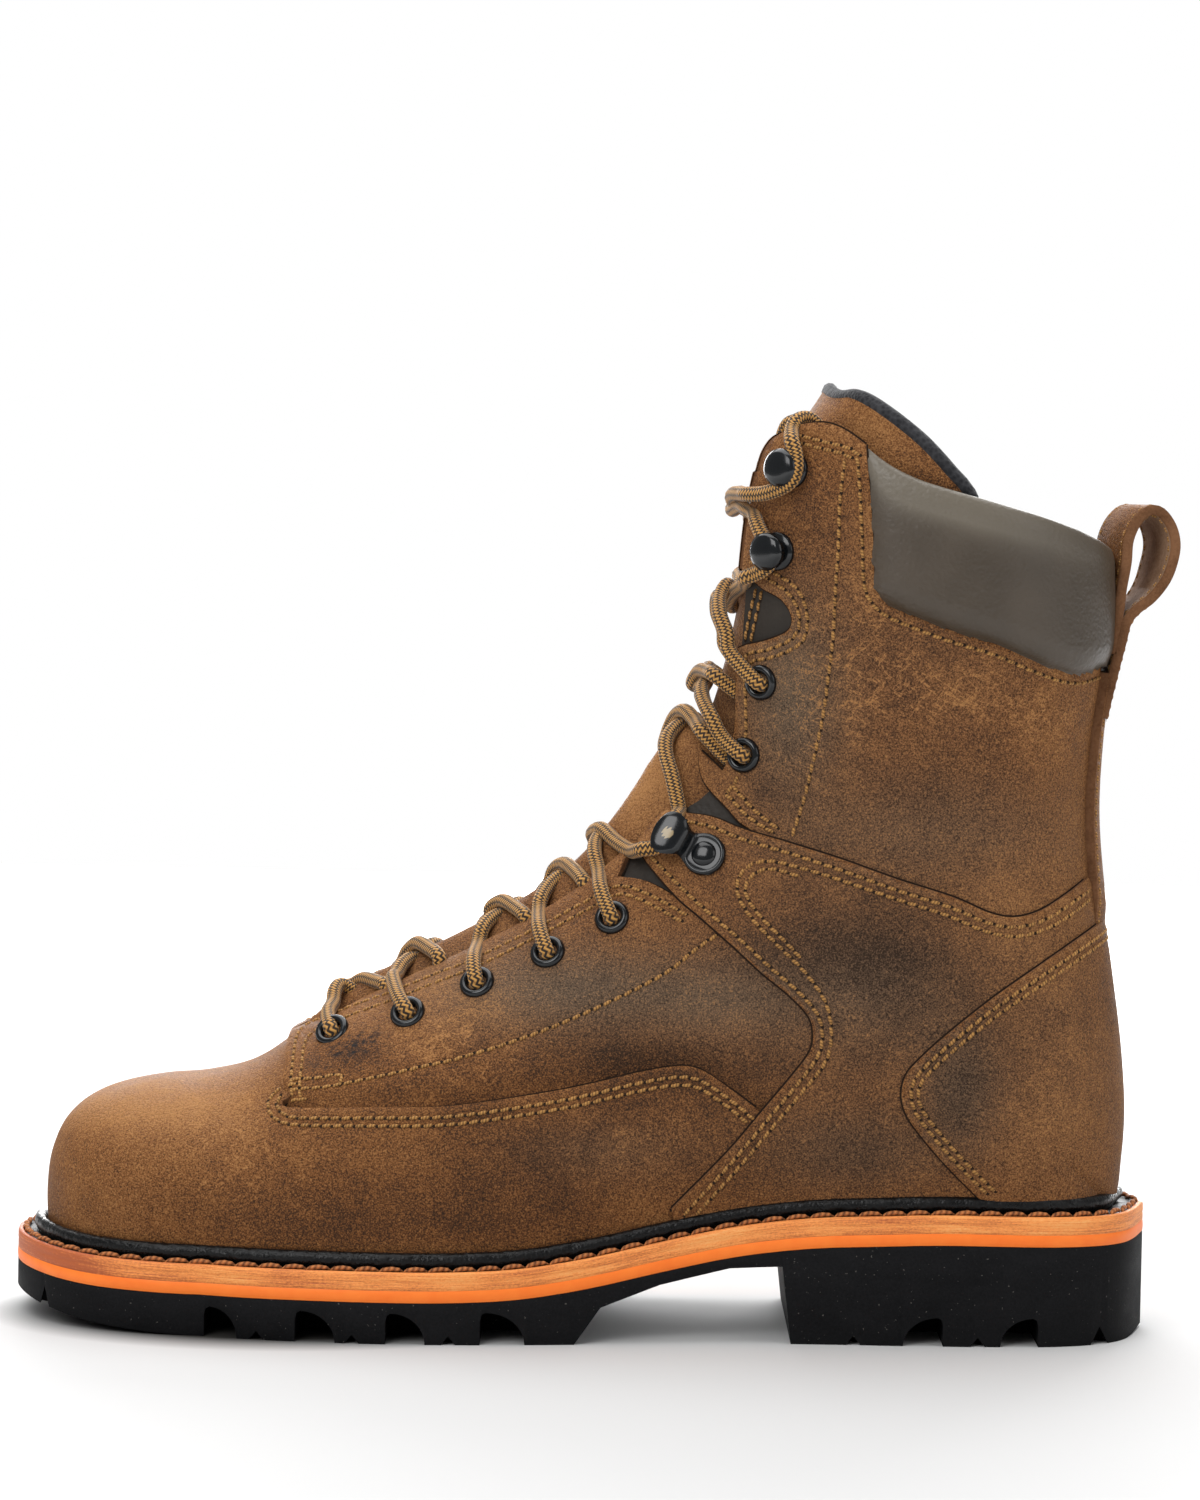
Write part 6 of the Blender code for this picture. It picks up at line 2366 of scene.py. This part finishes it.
@dataclass
class Hardware:
    """Eyelets, stud hooks and ankle hooks in black enamel."""

    last: Last
    eyelet_lift: float = 0.45
    tilt_lift: float = 1.3
    stud_lift: float = 0.4
    hook_lift: float = 1.6
    hook_turn: float = 151.0
    plate: float = 0.75
    chip_at: tuple[float, float] = (10.2, 0.3)
    chip_size: tuple[float, float] = (2.0, 1.9)
    chip_ripple: tuple[float, float, float] = (0.25, 5.1, 4.3)
    chip_depth: float = 0.95

    EYELETS = (
        (-71.8, 80.5), (-51.0, 86.9), (-32.1, 95.3), (-13.1, 104.3), (4.4, 114.2), (39.3, 159.4),
        (43.6, 179.4),
    )
    TILTS = (0.55, 0.36, 0.20, 0.08, 0.0, 0.0, 0.0)
    STUDS = ((47.5, 215.5), (50.6, 237.7))
    ANKLE_HOOK = (29.4, 131.8)
    EYELET_PROFILE = (
        (2.55, -3.2), (2.6, -0.4), (2.75, 0.55), (3.2, 1.05), (3.8, 1.2), (4.4, 1.0), (4.8, 0.5),
        (4.95, 0.0), (4.9, -0.5), (3.0, -0.6), (3.0, -3.2), (2.55, -3.2),
    )
    STUD_PROFILE = (
        (0.0, -0.8), (5.2, -0.8), (5.3, 0.5), (4.9, 1.0), (3.0, 1.15), (2.2, 1.5), (2.0, 4.0), (2.6, 4.6),
        (4.8, 4.8), (5.25, 5.2), (5.1, 5.9), (4.0, 6.6), (2.4, 7.0), (0.0, 7.15),
    )
    HOOK_PATH = (
        (-5.6, 0.45, 0.6), (-5.3, 0.5, 2.6), (-4.2, 0.55, 4.4), (-2.2, 0.55, 5.4), (0.0, 0.55, 5.7),
        (2.2, 0.6, 5.4), (4.0, 0.8, 4.5), (5.2, 1.8, 3.9), (6.0, 3.6, 4.0), (6.9, 5.0, 4.7),
        (8.2, 5.7, 5.6), (10.0, 6.0, 6.1), (11.8, 6.0, 5.9), (13.2, 5.8, 4.9), (14.0, 5.5, 3.2),
        (14.2, 5.4, 1.0),
    )
    HOOK_BASE = (
        (0.0, 0.0), (5.9, 0.0), (5.9, 1.0), (5.5, 1.45), (5.0, 1.5), (4.5, 1.2), (4.3, 0.8), (0.0, 0.75),
    )
    HOOK_RIVET = ((0.0, 0.6), (3.6, 0.6), (3.5, 1.3), (2.8, 1.9), (1.5, 2.25), (0.0, 2.35))
    LABELS = {Side.OUTER: "outer", Side.INNER: "inner"}

    def seat(self, place: Sequence[float], side: Side, tilt: float = 0.0) -> Matrix:
        """Frame on the upper's face at a side-view place: x to the heel, z outwards, in millimetres.

        Args:
            place: The place in side view.
            side: Which face of the boot.
            tilt: Lean away from the ridge.

        Returns:
            The frame.
        """
        s, t = self.last.beside(*place)
        point = Vector(self.last.point(s, t, side))
        normal = (Vector(self.last.normal(s, t, side)) + Vector((0.0, side.value * tilt, 0.0))).normalized()
        across = normal.cross(Vector((1.0, 0.0, 0.0))).normalized()
        flat = across.cross(normal)
        turn = Matrix((flat, across, normal)).transposed().to_4x4()
        return Matrix.Translation(point) @ turn

    def turned(self, name: str, profile: Sequence[tuple[float, float]], steps: int) -> bpy.types.Mesh:
        """Spin a profile about z, in edit mode, and give the closed mesh.

        Args:
            name: The mesh's name.
            profile: Radii and heights.
            steps: Faces round it.

        Returns:
            The mesh.
        """
        bpy.ops.object.select_all(action="DESELECT")
        mesh = bpy.data.meshes.new(name)
        mesh.from_pydata([(r, 0.0, z) for r, z in profile], [(i, i + 1) for i in range(len(profile) - 1)], [])
        maker = bpy.data.objects.new(name, mesh)
        bpy.context.scene.collection.objects.link(maker)
        bpy.context.view_layer.objects.active = maker
        maker.select_set(True)
        bpy.ops.object.mode_set(mode="EDIT")
        bpy.ops.mesh.select_all(action="SELECT")
        bpy.ops.mesh.spin(steps=steps, angle=2 * math.pi, center=(0.0, 0.0, 0.0), axis=(0.0, 0.0, 1.0))
        bpy.ops.mesh.select_all(action="SELECT")
        bpy.ops.mesh.remove_doubles(threshold=0.01)
        bpy.ops.mesh.normals_make_consistent(inside=False)
        bpy.ops.object.mode_set(mode="OBJECT")
        bpy.data.objects.remove(maker, do_unlink=True)
        return mesh

    def place(self, name: str, mesh: bpy.types.Mesh, seat: Matrix, node: str) -> Piece:
        """Copy a mesh to its seat as a finished piece that stands for a CAD node.

        Args:
            name: The piece's name.
            mesh: The mesh, about z.
            seat: Where it sits.
            node: The node that it stands for.

        Returns:
            The piece.
        """
        draft = Draft()
        points = np.array([seat @ v.co for v in mesh.vertices])
        draft.add(points, [tuple(p.vertices) for p in mesh.polygons])
        piece = draft.build(name, (ENAMEL,), sharp=55.0)
        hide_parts(node)
        return piece

    def build(self) -> None:
        """Make all the hardware on both sides."""
        eyelet = self.turned("eyelet", self.EYELET_PROFILE, 40)
        stud = self.turned("stud", self.STUD_PROFILE, 36)
        for side, label in self.LABELS.items():
            for number, place in enumerate(self.EYELETS, 1):
                tilt = self.TILTS[number - 1]
                lift = self.eyelet_lift + self.tilt_lift * tilt
                seat = self.seat(place, side, tilt) @ Matrix.Translation((0.0, 0.0, lift))
                self.place(f"eyelet_ring_{label}_{number}", eyelet, seat, f"eyelet_{label}_{number}")
            for number, place in enumerate(self.STUDS, 1):
                seat = self.seat(place, side) @ Matrix.Translation((0.0, 0.0, self.stud_lift))
                self.place(f"stud_{label}_{number}", stud, seat, f"stud_hook_{label}_{number}")
            self.build_ankle_hook(side, label)

    def build_ankle_hook(self, side: Side, label: str) -> None:
        """Make the riveted ankle hook: round base, rivet and a bent plate that holds the lace.

        Args:
            side: Which face of the boot.
            label: That face's name.
        """
        seat = self.seat(self.ANKLE_HOOK, side) @ Matrix.Translation((0.0, 0.0, self.hook_lift))
        seat = seat @ Matrix.Rotation(math.radians(-side.value * self.hook_turn), 4, "Z")
        draft = Draft()
        line = smooth_curve(self.HOOK_PATH, 0.5)
        columns = np.linspace(-1.0, 1.0, 13)
        top = np.zeros((len(line), len(columns), 3))
        along = np.gradient(line[:, :2], axis=0)
        up = unit(np.stack([-along[:, 1], along[:, 0]], axis=1))
        low = top.copy()
        for j, c in enumerate(columns):
            crown = self.plate * (0.25 + 0.75 * math.sqrt(max(0.0, 1.0 - c ** 4)))
            for rows, out in ((top, crown), (low, -crown)):
                rows[:, j, 0] = line[:, 0] + up[:, 0] * out
                rows[:, j, 1] = line[:, 2] * c
                rows[:, j, 2] = line[:, 1] + up[:, 1] * out
        x, y = top[..., 0], top[..., 1]
        (at_x, at_y), (long, wide) = self.chip_at, self.chip_size
        ripple, along_x, along_y = self.chip_ripple
        chip = np.exp(-((x - at_x) / long) ** 2 - ((y - at_y) / wide) ** 2)
        chip += ripple * np.sin(x * along_x) * np.sin(y * along_y)
        chip *= self.chip_depth if side is Side.OUTER else 0.0

        def seated(points: Array) -> Array:
            """Points of the hook brought to its seat."""
            return np.array([[tuple(seat @ Vector(p)) for p in row] for row in points])

        top, low = seated(top), seated(low)
        draft.grid(top, 0, chip=chip)
        draft.grid(low, 0, flip=True)
        draft.walls(top, low)
        for profile in (self.HOOK_BASE, self.HOOK_RIVET):
            angles = np.linspace(0.0, 2 * math.pi, 37)
            ring = np.array([[(r * math.cos(a), r * math.sin(a), z) for a in angles] for r, z in profile])
            draft.grid(seated(ring), 0, flip=True)
        hook = draft.build(f"ankle_hook_plate_{label}", (ENAMEL,), weld=0.01, sharp=50.0)
        Sole.face_outwards(hook)
        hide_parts(f"ankle_hook_{label}")


@dataclass(frozen=True)
class Strand:
    """One crossing of the lace, as pixels of the photograph.

    face lies on the leather over the near hardware, and landing on it before the next. The points of
    rise, up to the ridge, and of fall, down from it, also say how far they are from the ridge, as parts
    of the throat's half-width. The far half of each cord mirrors the other cord's near half.
    """

    face: Pixels
    rise: tuple[tuple[float, float, float], ...]
    fall: tuple[tuple[float, float, float], ...]
    landing: Pixels = ()


@dataclass
class Lace:
    """Round cord laced crosswise through the eyelets and round the hooks."""

    last: Last
    radius: float = 2.1
    face_lift: float = 2.5
    hook_lift: float = 4.0
    under: float = -4.2
    crossing_drop: float = 4.3
    through: tuple[float, float] = (-2.0, 1.6)
    least_gap: float = 9.0
    least_step: float = 1.2
    spacing: float = 0.8
    sides: int = 14

    STRANDS = (
        Strand(((333, 1020),), ((333, 1003, 1.0), (335, 991, 0.55), (342, 985, 0.2)), ((352, 985, -0.3),
            (364, 979, 0.0), (377, 982, 0.5), (386, 986, 0.9))),
        Strand(((402, 1003), (397, 986)), ((396, 975, 1.0), (401, 966, 0.65), (410, 959, 0.25)),
            ((408, 951, -0.3), (418, 943, 0.0), (430, 949, 0.5), (439, 957, 0.9))),
        Strand(((477, 966),), ((478, 946, 1.0), (482, 930, 0.7), (490, 920, 0.4), (499, 915, 0.12)),
            ((491, 908, -0.3), (503, 901, 0.0), (516, 908, 0.5), (526, 917, 0.9))),
        Strand(((543, 934),), ((539, 912, 1.0), (541, 899, 0.75), (549, 886, 0.4), (560, 877, 0.12)),
            ((555, 869, -0.3), (565, 864, 0.0), (576, 872, 0.5), (585, 883, 0.9))),
        Strand(((605, 894),), ((599, 872, 1.0), (595, 856, 0.72), (595, 845, 0.45), (600, 836, 0.15)),
            ((593, 833, -0.25), (602, 829, 0.12), (617, 842, 0.55), (632, 851, 0.95)), ((648, 855),
            (660, 853), (670, 847), (677, 837), (680, 824))),
        Strand((), ((679, 812, 1.05), (677, 799, 0.96), (672, 776, 0.82), (666, 753, 0.6), (668, 737, 0.38),
            (678, 726, 0.12)), ((675, 717, -0.2), (685, 711, 0.1), (696, 722, 0.5), (704, 734, 0.9))),
        Strand(((727, 738),), ((712, 718, 1.0), (704, 702, 0.75), (702, 690, 0.5), (706, 682, 0.2)),
            ((693, 683, -0.15), (700, 671, 0.1), (709, 672, 0.5), (716, 676, 0.85))),
        Strand(((745, 664), (735, 650)), ((727, 634, 1.0), (720, 615, 0.82), (720, 598, 0.55),
            (728, 585, 0.25)), ((727, 603, -0.1), (734, 592, 0.35), (744, 584, 0.8)), ((755, 578),
            (766, 573), (776, 566), (780, 556), (780, 546), (772, 536))),
        Strand(((763, 523),), ((754, 513, 1.0), (746, 508, 0.7), (741, 505, 0.3)), ((733, 500, -0.1),
            (734, 494, 0.35), (744, 494, 0.85)), ((757, 496), (772, 495), (787, 490), (799, 482),
            (804, 470), (804, 456), (801, 443))),
    )
    TUCK = (
        (792, 431, 1.0), (797, 421, 3.0), (807, 418, 5.0), (816, 423, 6.0), (821, 433, 6.0),
        (822, 439, 5.8),
    )
    HOOK_ROWS = (5, 8, 9)

    def rows(self) -> list[Array]:
        """Section and fraction of each row of hardware."""
        places = Hardware.EYELETS[:5] + (Hardware.ANKLE_HOOK,) + Hardware.EYELETS[5:] + Hardware.STUDS
        return [self.last.beside(*place) for place in places]

    def on_face(self, pixels: Pixels, side: Side, lift: float) -> list[Array]:
        """Points over the leather behind pixels, on either side.

        Args:
            pixels: Places on the photograph.
            side: Which face of the boot.
            lift: Height over the last.

        Returns:
            The points.
        """
        if not pixels:
            return []
        places = self.last.from_photo(np.array(pixels, float))
        return list(self.last.lifted(places[:, 0], places[:, 1], side, lift))

    def in_throat(self, pixels: Sequence, section: float, far: bool) -> list[Array]:
        """Points in the throat behind pixels, or their mirror over the ridge.

        Args:
            pixels: Places on the photograph, with parts of the half-width.
            section: Section of the row.
            far: Whether they are mirrored.

        Returns:
            The points.
        """
        ridge = float(self.last.section(section)["ridge_y"])
        gap = max(float(lookup(Last.THROAT, section)), self.least_gap)
        points = []
        for across, down, part in pixels:
            point = self.last.view.at_depth((across, down), ridge - part * gap)
            if far:
                point[1] = 2 * ridge - point[1]
            points.append(point)
        return points

    def at_row(self, row: Array, side: Side, height: float) -> Array:
        """Point over or under the middle of a row's hardware."""
        return self.last.lifted(row[0], row[1], side, np.array(height))

    def crossing(self, number: int, side: Side) -> list[Array]:
        """Points of one crossing, from its hardware to the next row's on the other side.

        Args:
            number: Which crossing.
            side: Where it starts.

        Returns:
            The points.
        """
        strand, rows = self.STRANDS[number], self.rows()
        start, end = rows[number], rows[number + 1]
        near_side = side is Side.OUTER
        other = Side.INNER if near_side else Side.OUTER
        line = []
        if number not in self.HOOK_ROWS:
            line += [self.at_row(start, side, h) for h in (self.under, *self.through)]
        line += self.on_face(strand.face, side, self.face_lift)
        rise = self.in_throat(strand.rise, start[0], not near_side)
        fall = self.in_throat(strand.fall, end[0], near_side)
        if near_side:
            fall[1][2] -= self.crossing_drop
            line += rise + fall[1:]
        else:
            line += rise[:-1] + fall
        if number + 1 in self.HOOK_ROWS:
            return line + self.on_face(strand.landing, other, self.hook_lift)
        edge = self.last.from_photo(np.array([strand.fall[-1][:2]]))[0, 0]
        dive = self.last.lifted(edge, self.last.throat(edge, other) - 0.01, other, np.array(self.under))
        return line + [dive, self.at_row(end, other, self.under)]

    def build(self) -> None:
        """Make both cords with all their crossings."""
        draft = Draft()
        for first in Side:
            line: list[Array] = []
            side = first
            for number in range(len(self.STRANDS)):
                line += self.crossing(number, side)
                side = Side.INNER if side is Side.OUTER else Side.OUTER
            top = self.on_face([p[:2] for p in self.TUCK], side, 0.0)
            for (x, y, z), (_, _, depth) in zip(self.tucked(side, top), self.TUCK):
                line.append(np.array([x, y - side.value * depth, z]))
            kept = [line[0]]
            for point in line[1:]:
                if np.linalg.norm(point - kept[-1]) > self.least_step:
                    kept.append(point)
            tube(draft, smooth_curve(kept, self.spacing), self.radius, self.sides)
        lace = draft.build("lace_cord_run", (LACE_CORD,), sharp=80.0)
        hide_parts(*[f"lace_crossing_{i}" for i in range(1, 10)])

    def tucked(self, side: Side, top: list[Array]) -> list[Array]:
        """Places over the collar's edge behind the tuck's pixels.

        Args:
            side: Which face of the boot.
            top: Points of the tuck on the last.

        Returns:
            The places.
        """
        edge = abs(top[0][1]) + self.face_lift
        points = [self.last.view.at_depth(pixel[:2], -edge) for pixel in self.TUCK]
        return [np.array([p[0], side.value * edge, p[2]]) for p in points]


# Studio

@dataclass
class Studio:
    """Pale floor, soft light and the photograph's camera."""

    view: PhotoView
    world_strength: float = 0.30
    sensor: float = 36.0

    LIGHTS = (
        ("top_box", (-0.1, 0.6, 2.2), (0.0, 0.0, 0.0), 2.9, 88.0),
        ("front_box", (-1.0, -1.9, 1.7), (0.0, 0.0, 0.12), 1.4, 34.0),
        ("right_box", (1.5, -1.0, 0.9), (0.0, 0.0, 0.12), 1.0, 5.0),
        ("back_box", (0.1, 1.5, 0.35), (0.0, 0.0, 0.02), 1.3, 42.0),
    )
    FLOOR = ((0.55, 0.55, 0.55), (0.56, 0.56, 0.56))
    # Colour, centre offset and radii of the painted shadow under the toe.
    SHADE = (0.04, 0.038, 0.035)
    SHADE_BACK = (0.090, 0.007, 0.0)
    SHADE_RADII = (0.068, 0.052)

    def build(self) -> None:
        """Set up the floor, lights, world and camera."""
        self.build_floor()
        self.build_world()
        for light in self.LIGHTS:
            self.add_light(*light)
        self.build_camera()

    def build_floor(self) -> None:
        """Wide pale floor, with a painted shadow close under the toe."""
        bpy.ops.object.select_all(action="DESELECT")
        bpy.ops.mesh.primitive_plane_add(size=3.2, location=(0.0, 0.0, 0.0))
        floor = bpy.context.active_object
        floor.name = "studio_floor"
        painter = Painter("studio_floor")
        where = painter.place()
        tint = painter.mix(painter.noise(where, 2.0), *self.FLOOR)
        away = painter.node("ShaderNodeVectorMath", {"operation": "LENGTH"}, Vector=where).outputs["Value"]
        # Painted shadow: a dark ellipse on the floor under the toe, fading out just past the sole.
        toe = painter.node("ShaderNodeVectorMath", {"operation": "ADD"}, Vector=where)
        toe.inputs[1].default_value = self.SHADE_BACK
        shape = painter.node("ShaderNodeVectorMath", {"operation": "MULTIPLY"}, Vector=toe.outputs[0])
        shape.inputs[1].default_value = (1.0 / self.SHADE_RADII[0], 1.0 / self.SHADE_RADII[1], 1.0)
        round_toe = painter.node("ShaderNodeVectorMath", {"operation": "LENGTH"}, Vector=shape.outputs[0])
        dark = painter.spread(round_toe.outputs["Value"], 0.78, 1.16, 1.0, 0.0)
        tint = painter.mix(dark, tint, self.SHADE)
        glow = painter.spread(away, 0.35, 1.1)
        floor.data.materials.append(painter.shade(Base_Color=tint, Roughness=0.8, Specular_IOR_Level=0.1,
                                                  Emission_Color=(1.0, 1.0, 1.0), Emission_Strength=glow))

    def build_world(self) -> None:
        """White surroundings that give little light themselves."""
        world = bpy.data.worlds.new("studio_world")
        world.use_nodes = True
        nodes, links = world.node_tree.nodes, world.node_tree.links
        backdrop = nodes["Background"]
        backdrop.inputs["Color"].default_value = (1.0, 1.0, 1.0, 1.0)
        seen = nodes.new("ShaderNodeMix")
        links.new(nodes.new("ShaderNodeLightPath").outputs["Is Camera Ray"], seen.inputs[0])
        seen.inputs[2].default_value = self.world_strength
        seen.inputs[3].default_value = 1.0
        links.new(seen.outputs[0], backdrop.inputs["Strength"])
        bpy.context.scene.world = world

    @staticmethod
    def add_light(name: str, place: Sequence[float], aim: Sequence[float], size: float, power: float) -> None:
        """Add a soft square light.

        Args:
            name: The light's name.
            place: Where it stands, in metres.
            aim: The point that it faces.
            size: Its side.
            power: Its power in watts.
        """
        data = bpy.data.lights.new(name, "AREA")
        data.size = size
        data.energy = power
        light = bpy.data.objects.new(name, data)
        light.location = place
        light.rotation_euler = (Vector(aim) - Vector(place)).to_track_quat("-Z", "Y").to_euler()
        bpy.context.scene.collection.objects.link(light)

    def build_camera(self) -> None:
        """Camera at the photograph's viewing angle, turned as there."""
        data = bpy.data.cameras.new("photo_camera")
        data.sensor_fit = "VERTICAL"
        data.sensor_height = self.sensor
        data.lens = self.view.focal / self.view.height * self.sensor
        data.clip_start = 0.05
        camera = bpy.data.objects.new("photo_camera", data)
        place = (np.array(self.view.eye) + SHIFT) * MM
        pitch = Matrix.Rotation(math.pi / 2 - self.view.pitch, 4, "X")
        turn = pitch @ Matrix.Rotation(self.view.turn, 4, "Z")
        camera.matrix_world = Matrix.Translation(place) @ turn
        bpy.context.scene.collection.objects.link(camera)
        bpy.context.scene.camera = camera
        bpy.context.scene.view_settings.view_transform = "Standard"


def main() -> None:
    """Build the boot's looks piece by piece."""
    logging.basicConfig(level=logging.INFO, format="%(name)s %(message)s")
    bpy.ops.object.select_all(action="DESELECT")
    view = PhotoView()
    last = Last(view)
    tone = LeatherTone(view)
    Studio(view).build()
    Sole(last).build()
    upper = Upper(last, tone)
    upper.build()
    stitching = Stitching(last)
    stitching.build(upper)
    Collar(last).build()
    Tongue(last, tone).build()
    PullLoop(last).build(stitching)
    stitching.finish()
    Hardware(last).build()
    Lace(last).build()


if __name__ == "__main__":
    main()
